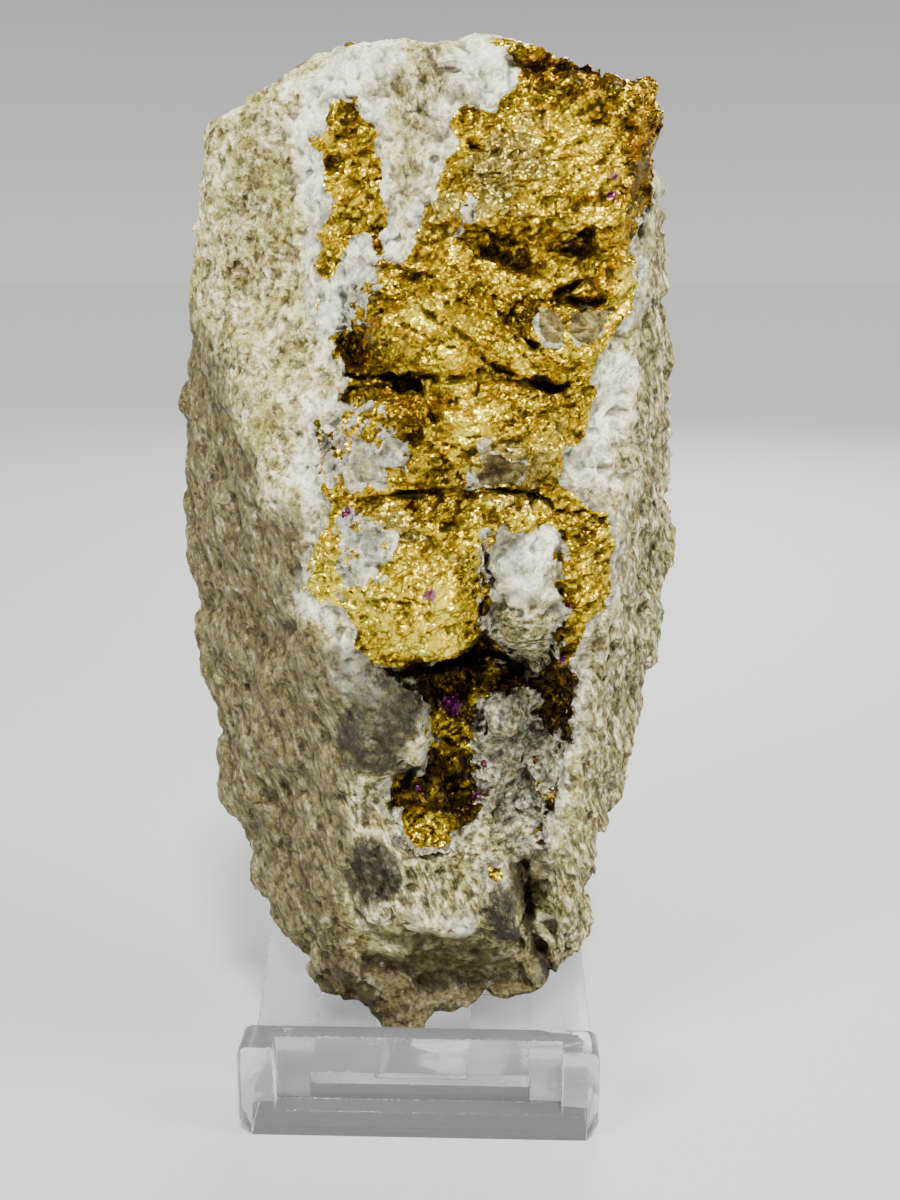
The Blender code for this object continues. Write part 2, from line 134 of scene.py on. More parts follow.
ZONE_OUTLINES: dict[Zone, list[Points]] = {
    Zone.TAN: [
        [
            (-21.7, 98.2), (-20.3, 94.6), (-17.3, 88.5), (-15.8, 82.4), (-13.5, 76.0), (-12.3, 74.7),
            (-13.0, 68.1), (-12.2, 65.5), (-8.0, 60.5), (-7.7, 49.0), (-7.3, 38.2), (-7.3, 28.2),
            (-3.7, 18.0), (-5.0, 0.0), (-50.0, 0.0), (-50.0, 104.0), (-26.0, 104.0),
        ],
    ],
    Zone.GREEN: [
        [
            (24.6, 113.0), (23.8, 108.7), (23.1, 102.1), (22.9, 94.7), (23.3, 83.8), (22.6, 80.0),
            (21.1, 76.7), (20.9, 67.4), (19.8, 61.9), (18.6, 55.4), (17.6, 48.4), (16.8, 41.6),
            (15.0, 37.2), (15.5, 22.3), (14.0, 0.0), (50.0, 0.0), (50.0, 118.0), (30.0, 118.0),
        ],
        [
            (-1.8, 118.5), (2.0, 121.5), (7.5, 120.5), (7.0, 117.6), (3.6, 116.0), (0.4, 112.0),
            (-0.8, 106.0),
        ],
        # Painted shade: the lower centre is given this zone's darker sage, standing in for shade.
        [
            (-7.6, 48.0), (-3.4, 46.2), (-3.6, 42.0), (-2.0, 38.2), (6.0, 36.6), (12.0, 37.0),
            (12.4, 26.6), (6.0, 28.6), (-2.0, 28.8), (-7.4, 29.6),
        ],
    ],
    Zone.MILKY: [
        [
            (-9.5, 118.5), (-4.8, 123.5), (-1.0, 123.0), (-1.4, 118.0), (-2.2, 112.0), (-1.4, 106.0),
            (-1.0, 102.4), (-5.0, 100.5), (-6.6, 96.0), (-9.4, 92.0), (-10.6, 86.0), (-12.6, 80.0),
            (-12.0, 75.0), (-11.6, 66.0), (-7.0, 61.0), (-8.5, 66.5), (-12.2, 70.0), (-9.5, 77.0),
            (-11.0, 86.0), (-9.0, 94.0), (-11.4, 97.0), (-10.4, 104.0), (-10.6, 110.0), (-11.2, 114.0),
        ],
        [
            (-1.8, 30.3), (2.2, 30.2), (6.1, 29.7), (5.9, 28.1), (-0.7, 28.5),
        ],
        [
            (2.6, 118.6), (6.0, 122.6), (10.6, 122.4), (10.8, 118.6), (8.6, 116.6), (4.0, 116.4),
            (2.0, 112.6), (1.0, 108.0),
        ],
        [
            (18.5, 92.6), (21.4, 95.0), (22.4, 90.0), (21.6, 83.8), (20.4, 79.1), (15.4, 79.9),
            (18.0, 85.7), (18.4, 89.0),
        ],
        [
            (8.6, 72.4), (11.3, 75.4), (13.2, 76.0), (15.4, 75.6), (16.2, 73.3), (15.2, 70.6),
            (15.6, 67.4), (10.5, 67.5),
        ],
    ],
    # Painted highlight: these parts of the ore are painted brighter, where their faces catch the light.
    Zone.PAINTED_HIGHLIGHT: [
        [
            (-1.6, 96.2), (-0.1, 99.2), (3.4, 98.3), (8.9, 94.3), (13.4, 92.2), (9.6, 90.3), (6.9, 83.2),
            (1.4, 83.2), (2.0, 88.3),
        ],
        [
            (18.6, 103.2), (21.9, 103.4), (22.4, 99.0), (19.6, 97.8), (18.0, 100.2),
        ],
        [
            (-11.4, 68.0), (-9.0, 76.0), (-2.0, 71.6), (3.6, 69.0), (7.0, 63.0), (2.0, 60.0),
            (-5.0, 61.0), (-9.0, 66.0),
        ],
    ],
    # Orange-brown tarnish, partly real and partly painted shade on faces turned from the light: left of
    # and under the nose, the top band and the right side.
    Zone.TARNISH_AND_SHADE: [
        [
            (20.6, 112.3), (21.6, 120.8), (25.8, 120.8), (25.2, 113.0), (23.4, 104.9), (21.6, 102.1),
            (18.7, 99.2), (14.9, 95.3), (15.7, 98.2), (19.0, 103.0),
        ],
        [
            (-4.8, 105.8), (-2.0, 106.4), (-2.4, 102.6), (-4.6, 102.8),
        ],
        [
            (-6.8, 99.4), (-3.9, 99.0), (-1.4, 97.4), (-2.0, 93.8), (-2.8, 91.1), (-6.6, 91.0),
            (-7.6, 94.0),
        ],
        [
            (-6.8, 90.6), (1.0, 90.6), (3.6, 86.8), (0.0, 84.6), (-4.8, 88.6),
        ],
        [
            (10.4, 121.0), (24.0, 120.0), (23.0, 116.4), (14.0, 117.4), (10.8, 118.0),
        ],
    ],
    # The cavity under the overhang: its ore breaks into flecks here, and its ore and quartz are painted
    # darker as painted shade.
    Zone.CAVITY: [
        [
            (-5.6, 59.3), (-1.5, 59.3), (1.5, 60.3), (6.6, 61.3), (7.5, 63.6), (9.2, 61.8), (12.4, 60.0),
            (18.2, 60.6), (18.4, 57.3), (18.2, 52.2), (16.3, 49.3), (15.8, 44.5), (14.6, 38.5),
            (11.7, 37.2), (9.5, 34.3), (7.5, 34.7), (6.1, 37.4), (2.7, 37.4), (-1.5, 38.0), (-3.0, 41.9),
            (-3.5, 45.5), (0.4, 47.9), (1.5, 51.2), (0.9, 55.5), (-2.5, 57.1),
        ],
        [
            (7.4, 66.6), (10.7, 66.2), (13.0, 64.6), (15.8, 66.4), (16.2, 62.9), (15.2, 59.4),
            (12.4, 59.2), (7.6, 61.2),
        ],
    ],
    Zone.MIXED: [
        [
            (-8.9, 60.9), (-5.8, 61.3), (-1.7, 59.8), (-0.7, 57.4), (-3.2, 55.6), (-7.5, 56.1),
            (-9.2, 58.2),
        ],
        [
            (-6.8, 84.0), (-3.0, 85.6), (-0.4, 84.6), (-0.8, 82.0), (-2.9, 79.9), (-6.5, 78.8),
            (-7.4, 81.0),
        ],
        [
            (-7.6, 75.8), (-6.3, 76.4), (-5.0, 75.8), (-2.2, 74.4), (-1.9, 71.6), (-4.6, 69.4),
            (-7.3, 68.4), (-7.9, 72.1),
        ],
        [
            (-9.9, 85.2), (-7.9, 87.9), (-5.3, 88.1), (-2.9, 87.3), (-2.9, 84.2), (-4.2, 82.6),
            (-6.5, 81.1), (-8.6, 80.0), (-9.8, 81.1),
        ],
        [
            (-8.3, 95.4), (-7.4, 101.2), (-4.0, 101.4), (-2.4, 99.6), (-4.2, 97.2), (-6.0, 94.6),
        ],
        [
            (6.8, 75.4), (10.0, 76.2), (10.6, 72.6), (8.4, 68.0), (7.0, 67.4),
        ],
        [
            (7.6, 44.4), (6.4, 50.6), (6.2, 56.6), (12.4, 57.4), (15.2, 52.0), (15.4, 46.0), (12.6, 39.6),
            (9.0, 40.4),
        ],
    ],
    # Grey quartz under the overhang and at the foot, painted nearly black: partly its own smoky grey,
    # partly painted shade.
    Zone.GREY_AND_SHADE: [
        [
            (-8.1, 60.0), (-5.8, 60.8), (-3.6, 59.2), (-1.0, 57.0), (0.8, 55.5), (1.3, 51.4), (0.6, 48.1),
            (-2.2, 46.8), (-6.0, 47.8), (-8.8, 51.3), (-8.0, 55.0),
        ],
        [
            (-8.1, 39.6), (-4.4, 39.4), (-0.3, 37.8), (-0.3, 33.2), (-4.3, 29.2), (-7.3, 30.1),
            (-8.0, 34.5),
        ],
        [
            (8.0, 34.0), (11.8, 34.0), (11.9, 27.3), (9.5, 28.2), (8.3, 30.4),
        ],
    ],
    Zone.DULL: [
        [
            (-7.0, 78.6), (3.4, 78.8), (12.0, 78.4), (8.0, 75.0), (7.0, 72.0), (-1.0, 73.0), (-6.0, 75.6),
        ],
        [
            (3.8, 113.0), (8.0, 115.6), (14.0, 111.0), (14.0, 106.4), (5.0, 105.0), (0.6, 104.6),
        ],
        [
            (7.2, 84.0), (13.0, 84.0), (15.4, 80.0), (10.4, 78.8), (6.0, 79.2),
        ],
    ],
    # Painted glints: small spots in the dark cavity are painted bright, where single faces catch the
    # light.
    Zone.GLINT: [
        [
            (-1.0, 53.6), (2.8, 55.0), (6.0, 53.6), (7.2, 52.1), (6.2, 50.3), (3.4, 49.9), (0.6, 51.3),
        ],
        [
            (-1.5, 42.1), (1.4, 42.9), (3.9, 41.7), (3.6, 38.9), (0.5, 38.3), (-1.2, 39.5),
        ],
        [
            (12.9, 50.1), (14.6, 50.6), (15.6, 48.1), (15.0, 45.0), (13.3, 44.7),
        ],
        [
            (6.0, 59.4), (8.6, 59.0), (8.2, 56.6), (6.4, 55.8),
        ],
        [
            (7.4, 37.2), (8.6, 37.0), (10.0, 35.4), (9.4, 34.4), (8.2, 35.0),
        ],
    ],
    # The underside and the groove at the foot: brown stain, and painted shade where they face down.
    Zone.STAINED_AND_SHADED: [
        [
            (-9.0, 27.0), (7.0, 27.6), (12.2, 24.6), (17.0, 24.0), (17.0, 12.0), (0.0, 4.0),
            (-12.0, 12.0),
        ],
        [
            (11.4, 38.0), (14.4, 38.0), (15.0, 28.0), (16.8, 24.0), (14.0, 20.0), (11.6, 24.0),
        ],
    ],
}


# Width of the soft border of each zone, in millimetres
ZONE_BLENDS: dict[Zone, float] = {
    Zone.TAN: 3.0,
    Zone.GREEN: 2.0,
    Zone.MILKY: 1.6,
    Zone.PAINTED_HIGHLIGHT: 3.0,
    Zone.TARNISH_AND_SHADE: 2.4,
    Zone.CAVITY: 1.2,
    Zone.MIXED: 1.8,
    Zone.GREY_AND_SHADE: 3.6,
    Zone.STAINED_AND_SHADED: 3.0,
    Zone.DULL: 3.0,
    Zone.GLINT: 1.2,
}

# Zones that run on round the sides to the back
ROUND_THE_SIDES = (Zone.TAN, Zone.GREEN)

ORE_OUTLINES: dict[str, Points] = {
    "standing_figure": [
        (-7.6, 116.9), (-4.9, 117.2), (-4.8, 115.1), (-3.3, 114.8), (-3.0, 113.9), (-3.3, 112.8),
        (-2.9, 111.3), (-3.1, 108.2), (-2.2, 106.9), (-2.2, 105.1), (-2.7, 104.5), (-2.6, 102.5),
        (-3.7, 102.5), (-4.6, 104.4), (-6.5, 104.4), (-7.0, 102.5), (-7.8, 99.2), (-8.9, 100.1),
        (-9.4, 101.3), (-9.1, 102.6), (-8.8, 104.9), (-7.6, 107.8), (-8.5, 109.3), (-8.5, 110.4),
        (-8.1, 112.1), (-9.5, 112.8), (-9.7, 113.3), (-8.5, 113.7), (-8.0, 114.1), (-7.8, 115.8),
    ],
    "left_bit": [(-9.6, 98.6), (-9.0, 98.6), (-8.9, 97.0), (-9.5, 96.1), (-9.9, 97.4)],
    "top_bit": [(-6.4, 122.9), (-4.9, 122.8), (-5.0, 121.8), (-6.0, 121.8)],
    "main_mass": [
        (7.8, 122.2), (9.2, 122.4), (11.6, 122.2), (16.1, 121.6), (21.5, 121.0), (25.8, 120.6),
        (25.7, 117.0), (25.0, 115.1), (23.5, 113.0), (23.3, 110.3), (23.3, 107.3), (22.0, 106.0),
        (21.9, 103.8), (22.2, 101.3), (22.1, 99.5), (21.8, 96.6), (20.1, 95.4), (19.7, 93.5),
        (18.5, 92.6), (18.1, 90.4), (18.4, 89.0), (18.0, 85.7), (17.0, 84.2), (15.6, 83.3), (15.4, 79.9),
        (17.5, 78.2), (20.2, 76.9), (20.8, 75.5), (20.8, 71.0), (20.8, 67.6), (19.8, 66.5), (18.4, 65.5),
        (17.4, 63.1), (17.2, 58.5), (6.6, 60.4), (3.9, 60.2), (1.5, 59.8), (-1.5, 58.5), (-3.1, 59.0),
        (-4.6, 59.3), (-6.1, 62.0), (-6.4, 64.2), (-7.3, 66.8), (-10.2, 66.8), (-11.6, 68.7),
        (-11.1, 71.3), (-10.2, 73.4), (-9.2, 74.9), (-8.1, 77.3), (-9.1, 78.9), (-9.9, 81.1),
        (-9.9, 85.2), (-7.9, 88.1), (-6.3, 89.1), (-6.6, 90.8), (-7.5, 93.1), (-7.8, 94.8), (-7.4, 96.1),
        (-6.4, 96.4), (-5.9, 98.2), (-6.6, 99.7), (-5.9, 100.9), (-3.9, 101.3), (-2.7, 102.3),
        (-1.1, 101.7), (0.3, 102.6), (0.5, 104.6), (1.0, 106.4), (2.0, 107.7), (2.7, 109.5), (3.7, 111.3),
        (4.2, 113.0), (4.0, 114.7), (4.3, 115.7), (5.9, 116.2), (8.1, 116.0), (9.0, 117.1), (10.3, 118.3),
        (10.3, 119.6),
    ],
    "cavity_ore": [
        (-1.5, 59.5), (4.0, 60.4), (7.4, 63.6), (9.4, 61.6), (12.4, 60.4), (17.4, 59.4), (17.6, 57.3),
        (17.6, 52.2), (15.8, 49.3), (15.5, 44.5), (14.4, 39.4), (12.0, 38.6), (10.4, 41.5), (8.0, 42.6),
        (5.6, 40.4), (3.6, 38.6), (0.5, 38.0), (-1.6, 39.3), (-1.7, 41.9), (-3.0, 43.5), (-2.0, 46.6),
        (0.9, 47.9), (1.8, 51.4), (1.2, 55.5), (-1.5, 57.1),
    ],
    "low_bit": [(7.4, 37.2), (8.6, 37.0), (10.0, 35.4), (9.4, 34.4), (8.2, 35.0)],
}

QUARTZ_OUTLINES: dict[str, Points] = {
    "sliver": [(6.0, 108.0), (5.2, 106.3), (4.4, 104.5), (5.0, 104.4), (5.8, 106.1), (6.4, 107.7)],
    "white_spot": [(7.3, 84.5), (7.9, 83.9), (7.5, 83.2), (6.9, 83.6)],
    "white_spot_low": [(5.8, 80.9), (6.6, 80.8), (6.9, 79.6), (5.9, 79.6)],
    "pale_inclusion": [
        (-6.8, 80.2), (-6.5, 81.9), (-4.4, 83.4), (-2.3, 83.8), (-0.5, 83.8), (-1.3, 82.4), (-2.9, 81.3),
        (-4.2, 80.3), (-5.5, 79.2), (-6.5, 79.3),
    ],
    "white_inclusion": [
        (-7.2, 72.8), (-6.4, 74.1), (-4.9, 74.8), (-3.7, 75.3), (-2.3, 73.9), (-2.6, 72.8), (-3.7, 72.0),
        (-4.4, 70.9), (-6.0, 69.0), (-6.8, 69.4), (-6.5, 71.1),
    ],
    "white_patch": [
        (7.5, 72.5), (9.6, 73.8), (11.3, 75.1), (13.2, 75.7), (15.1, 75.3), (15.9, 73.3), (14.9, 70.6),
        (15.5, 68.4), (16.0, 66.0), (15.7, 62.9), (14.8, 60.1), (12.4, 59.8), (9.7, 61.2), (8.1, 62.9),
        (7.5, 65.1), (8.3, 67.3), (8.1, 70.0),
    ],
    "cavity_lumps": [
        (9.1, 56.8), (11.4, 57.4), (13.1, 56.2), (12.7, 54.1), (14.6, 53.2), (14.4, 51.0), (12.9, 50.2),
        (12.6, 48.0), (13.3, 45.7), (12.5, 43.8), (13.6, 41.9), (10.5, 41.2), (8.4, 42.3), (8.2, 44.4),
        (9.4, 46.2), (7.6, 48.0), (6.9, 50.3), (7.3, 52.4), (8.6, 53.6), (8.2, 55.4),
    ],
}

SMOKY_OUTLINES: dict[str, Points] = {
    "chunk_left": [
        (12.7, 97.0), (14.0, 97.5), (15.3, 96.5), (15.5, 95.3), (14.7, 93.9), (13.5, 94.1), (12.8, 95.3),
    ],
    "chunk_right": [
        (15.5, 97.5), (17.3, 97.6), (20.0, 97.5), (19.4, 95.7), (17.9, 93.7), (16.4, 94.3), (15.5, 95.3),
    ],
    "grey_chunk": [
        (6.3, 81.1), (7.4, 82.7), (9.0, 82.9), (10.2, 82.0), (11.5, 82.0), (11.7, 81.0), (10.7, 79.7),
        (9.0, 79.4), (7.0, 79.6),
    ],
}

# Cracks and dark seams on the front: points on the picture plane, width and depth in millimetres

@dataclass(frozen=True)
class Crack:
    """A crack or a dark seam across the front."""

    route: Points
    width: float
    depth: float


CRACKS: dict[str, Crack] = {
    "under_nose_left": Crack(
        [(-6.8, 91.0), (-4.5, 90.7), (-2.0, 90.2), (0.0, 90.8), (2.4, 90.4)],
        width=0.5, depth=1.8,
    ),
    "nose_hole": Crack([(-1.6, 90.4), (-0.4, 89.6), (0.6, 89.4)], width=1.5, depth=3.2),
    "nose_shadow": Crack([(0.6, 90.0), (1.4, 88.0), (2.6, 86.2)], width=0.9, depth=1.3),
    "right_seam": Crack(
        [(6.9, 92.4), (8.6, 91.4), (10.3, 91.0), (12.4, 90.0), (14.2, 89.7), (17.0, 89.9)],
        width=0.4, depth=1.4,
    ),
    "right_seam_hole": Crack([(12.6, 90.1), (14.6, 89.5), (16.0, 89.7)], width=0.9, depth=2.6),
    "mid_fracture": Crack([(1.8, 84.2), (3.8, 81.6), (5.4, 79.3)], width=0.35, depth=0.8),
    "mid_fracture_high": Crack([(2.6, 84.1), (5.2, 83.4), (6.6, 83.5)], width=0.3, depth=0.6),
    "tier_line": Crack(
        [(-1.4, 78.6), (3.4, 79.0), (8.8, 79.1), (12.8, 78.6), (15.0, 77.2), (20.2, 76.2)],
        width=0.45, depth=1.0,
    ),
    "figure_band_high": Crack([(-5.6, 111.0), (-3.0, 110.8)], width=0.5, depth=0.7),
    "figure_band_low": Crack([(-5.0, 109.6), (-2.9, 109.7)], width=0.4, depth=0.6),
    "upper_left_notch": Crack([(4.8, 104.9), (7.4, 104.7), (10.0, 103.6)], width=0.5, depth=0.9),
    "upper_right_notch": Crack([(12.8, 104.5), (15.4, 104.8), (17.6, 104.3)], width=0.5, depth=0.8),
    "chunk_shadow": Crack([(14.6, 98.8), (16.6, 100.2), (18.4, 101.6)], width=0.7, depth=1.2),
    "chunk_hole": Crack([(16.0, 98.4), (17.2, 97.6), (18.8, 98.2)], width=0.9, depth=1.8),
    "nose_step": Crack([(10.2, 96.0), (11.4, 94.6), (12.2, 93.8)], width=1.0, depth=1.5),
    "block_dent": Crack([(6.0, 112.4), (8.4, 112.2)], width=0.7, depth=0.8),
    "block_dent_low": Crack([(6.6, 109.9), (9.4, 110.2)], width=0.5, depth=0.6),
    "patch_left_seam": Crack([(7.4, 73.0), (8.2, 69.8), (7.4, 66.8), (7.2, 64.0)], width=0.6, depth=1.4),
    "patch_right_seam": Crack(
        [(15.6, 74.6), (15.0, 71.0), (15.9, 66.6), (16.0, 62.0)],
        width=0.5, depth=1.0,
    ),
    "overhang_line": Crack(
        [(-3.0, 58.8), (1.5, 59.6), (6.0, 61.0), (7.3, 63.0), (8.6, 61.2), (12.4, 59.4)],
        width=1.2, depth=2.2,
    ),
    "low_groove": Crack(
        [(12.2, 36.0), (12.7, 32.0), (13.2, 28.8), (14.4, 26.0), (15.0, 22.4)],
        width=1.7, depth=2.7,
    ),
    "right_face_crack": Crack([(24.6, 73.0), (23.6, 69.6), (24.0, 66.4)], width=0.8, depth=1.2),
}


@dataclass(frozen=True)
class Facet:
    """A flat face cut into or raised from the front; lengths in millimetres.

    It stands `rise` out at its middle and leans by `lean` (extra rise per
    millimetre to the right, and upwards), with a border `soft` wide.
    """

    outline: Points
    rise: float
    lean: tuple[float, float]
    soft: float = 0.5


FACETS: dict[str, Facet] = {
    "notch_left": Facet(
        [(4.4, 104.7), (6.8, 104.8), (9.3, 104.2), (11.3, 103.0), (12.3, 101.3), (10.8, 100.7),
         (8.6, 101.9), (6.6, 103.0), (4.8, 103.8)],
        rise=-0.9, lean=(0.1, 0.75), soft=0.6,
    ),
    "notch_right": Facet(
        [(12.7, 104.4), (14.7, 104.8), (17.1, 104.7), (18.4, 103.6), (17.7, 102.5), (15.3, 102.6),
         (13.5, 103.2)],
        rise=-0.7, lean=(0.0, 0.8), soft=0.6,
    ),
    "mid_face": Facet(
        [(8.8, 101.9), (11.0, 100.5), (13.2, 101.9), (16.2, 101.9), (17.9, 100.6), (16.3, 99.0),
         (13.6, 98.2), (10.8, 98.2), (8.8, 99.7)],
        rise=0.4, lean=(0.1, -0.25),
    ),
    "bright_chunk": Facet(
        [(17.5, 101.1), (18.6, 102.2), (20.6, 102.5), (22.0, 101.5), (22.1, 99.8), (20.7, 98.6),
         (18.7, 99.2)],
        rise=1.1, lean=(-0.1, -0.35), soft=0.4,
    ),
    "right_side": Facet(
        [(21.3, 115.8), (23.5, 116.9), (23.9, 113.2), (23.5, 107.7), (22.5, 104.4), (21.4, 101.9),
         (19.6, 101.9), (20.7, 105.4), (21.5, 109.6)],
        rise=-0.6, lean=(-0.7, 0.12), soft=0.7,
    ),
    "top_band": Facet(
        [(9.1, 120.6), (14.3, 120.1), (23.4, 118.6), (23.5, 116.5), (18.2, 116.9), (12.9, 117.6),
         (9.2, 118.0)],
        rise=-0.4, lean=(0.0, -0.55), soft=0.7,
    ),
    "nose_rim": Facet(
        [(-6.1, 101.3), (-1.6, 101.7), (1.9, 100.5), (5.1, 98.2), (7.9, 95.3), (8.9, 93.5), (6.7, 94.1),
         (3.4, 96.5), (-0.1, 98.2), (-3.9, 99.0)],
        rise=0.3, lean=(-0.2, -0.55),
    ),
    "nose_left": Facet(
        [(-6.6, 99.0), (-3.9, 98.6), (-0.9, 97.2), (-1.4, 93.8), (-2.4, 91.1), (-6.3, 91.3), (-7.4, 93.8)],
        rise=-0.8, lean=(0.4, 0.35),
    ),
    "nose_face": Facet(
        [(-0.9, 97.6), (2.9, 96.1), (5.9, 93.5), (6.9, 92.1), (1.8, 90.7), (-2.0, 91.3), (-1.2, 94.3)],
        rise=0.5, lean=(0.05, 0.12),
    ),
    "recess": Facet(
        [(7.6, 98.2), (10.3, 98.2), (12.8, 97.1), (11.9, 95.5), (9.7, 95.7), (8.1, 96.9)],
        rise=-1.3, lean=(0.1, 0.6), soft=0.6,
    ),
    "below_left": Facet(
        [(-6.3, 89.5), (-1.7, 89.9), (1.3, 88.7), (2.8, 85.8), (-1.3, 85.7), (-5.3, 87.1), (-7.4, 88.1)],
        rise=-0.8, lean=(0.25, -0.2),
    ),
    "tier_face": Facet(
        [(2.8, 90.1), (6.9, 91.1), (12.0, 89.5), (17.5, 89.4), (18.3, 85.8), (16.1, 83.8), (11.0, 84.3),
         (5.9, 84.8), (2.8, 86.3)],
        rise=0.5, lean=(-0.03, 0.08),
    ),
    "tier_low": Facet(
        [(-2.9, 84.2), (2.8, 85.0), (5.9, 84.2), (4.4, 80.3), (-0.3, 79.6), (-3.9, 80.0)],
        rise=0.3, lean=(0.1, -0.15),
    ),
    "tier_right": Facet(
        [(12.1, 83.8), (15.6, 83.5), (15.4, 80.1), (13.2, 78.9), (10.3, 79.5)],
        rise=0.3, lean=(-0.25, 0.1),
    ),
    "low_top": Facet(
        [(-6.5, 77.9), (-1.3, 78.8), (5.9, 79.1), (11.1, 78.5), (9.1, 74.8), (2.8, 74.2), (-3.5, 75.4),
         (-7.1, 75.8)],
        rise=-0.3, lean=(0.0, -0.3),
    ),
    "low_mid": Facet(
        [(-10.0, 73.1), (-7.1, 75.3), (-2.4, 73.7), (2.8, 73.2), (7.0, 73.2), (7.2, 67.3), (1.7, 67.2),
         (-6.8, 67.4), (-11.0, 68.2)],
        rise=0.3, lean=(0.04, -0.05),
    ),
    "low_round": Facet(
        [(-6.8, 66.7), (1.7, 66.6), (7.6, 67.3), (7.9, 64.5), (6.6, 61.5), (2.8, 60.4), (-1.5, 59.0),
         (-4.2, 59.6), (-6.2, 62.7)],
        rise=0.2, lean=(0.0, 0.12), soft=0.8,
    ),
    "right_gold": Facet(
        [(16.1, 76.0), (20.3, 76.2), (20.8, 70.6), (19.7, 66.7), (18.1, 66.1), (16.0, 67.3), (15.6, 71.7)],
        rise=0.5, lean=(-0.1, -0.05),
    ),
    "right_gold_low": Facet(
        [(15.7, 66.0), (19.7, 66.5), (18.7, 64.6), (17.2, 61.3), (15.8, 60.7)],
        rise=-0.7, lean=(0.0, 0.3),
    ),
    "cavity_mid": Facet(
        [(2.8, 57.2), (6.5, 59.3), (8.4, 57.2), (6.0, 53.8), (3.3, 53.8)],
        rise=1.2, lean=(0.1, -0.3),
    ),
    "glint_mid": Facet([(1.7, 51.7), (5.0, 50.8), (5.4, 48.2), (2.8, 48.4)], rise=1.3, lean=(0.1, -0.7)),
    "glint_low": Facet(
        [(-1.5, 41.9), (3.9, 42.2), (3.9, 38.8), (0.5, 38.3), (-1.3, 39.2)],
        rise=1.0, lean=(0.1, -0.6),
    ),
    "glint_right": Facet(
        [(11.9, 50.4), (14.3, 50.4), (15.6, 48.1), (15.1, 45.5), (12.9, 46.2)],
        rise=1.1, lean=(0.0, -0.6),
    ),
    "figure_head": Facet(
        [(-7.6, 116.9), (-4.9, 117.2), (-4.8, 115.0), (-3.3, 114.2), (-3.3, 112.8), (-6.8, 112.4),
         (-8.2, 113.3)],
        rise=0.4, lean=(0.05, 0.1),
    ),
    "figure_waist": Facet(
        [(-8.1, 112.2), (-3.3, 112.2), (-3.1, 110.0), (-7.9, 109.6)],
        rise=-0.2, lean=(0.05, -0.4),
    ),
    "figure_body": Facet(
        [(-7.6, 109.1), (-3.0, 109.1), (-2.2, 106.8), (-2.6, 103.0), (-6.5, 104.4), (-7.7, 106.3)],
        rise=0.4, lean=(-0.1, 0.05),
    ),
    "patch_foot": Facet(
        [(7.8, 67.3), (10.7, 68.4), (15.5, 67.3), (15.8, 62.9), (14.8, 59.8), (12.4, 59.8), (9.7, 61.2),
         (7.9, 62.9)],
        rise=-1.3, lean=(0.05, 0.25), soft=0.9,
    ),
    "blue_lump": Facet(
        [(-7.7, 60.0), (-4.1, 59.4), (-1.6, 56.0), (1.1, 55.3), (1.5, 51.2), (0.3, 48.1), (-2.5, 47.3),
         (-6.0, 48.3), (-8.5, 51.1)],
        rise=0.4, lean=(0.1, 0.05), soft=1.2,
    ),
    "grey_facet": Facet(
        [(-8.1, 39.6), (-4.4, 39.1), (-4.3, 34.5), (-4.6, 29.2), (-7.3, 30.1), (-8.0, 34.5)],
        rise=0.3, lean=(0.25, 0.1),
    ),
    "grey_facet_right": Facet(
        [(-4.4, 38.0), (-0.3, 37.5), (-0.3, 33.6), (-2.4, 32.5), (-4.5, 33.3)],
        rise=0.3, lean=(-0.3, 0.0),
    ),
    "quartz_step": Facet(
        [(-2.2, 47.3), (0.6, 48.1), (-2.8, 44.3), (-1.5, 38.3), (-4.9, 38.7), (-7.3, 39.6), (-7.2, 45.4)],
        rise=-0.5, lean=(-0.15, -0.15), soft=0.8,
    ),
    "low_underside": Facet(
        [(-7.5, 28.0), (-1.8, 27.6), (6.1, 27.7), (7.3, 30.4), (9.5, 27.2), (11.9, 26.3), (13.0, 21.5),
         (6.2, 20.1), (1.0, 19.4), (-1.9, 21.9), (-6.0, 23.0)],
        rise=-1.1, lean=(0.0, 0.3), soft=0.7,
    ),
    "brown_blob": Facet(
        [(11.9, 28.4), (14.4, 29.2), (16.0, 27.4), (16.1, 22.9), (14.5, 21.6), (12.8, 22.8)],
        rise=0.9, lean=(0.0, 0.2),
    ),
}


@dataclass(frozen=True)
class Ledges:
    """A run of small ledges inside an outline; lengths in millimetres.

    The ledges run at `slope` degrees from the level, `spacing` apart.
    """

    outline: Points
    slope: float
    spacing: float
    depth: float


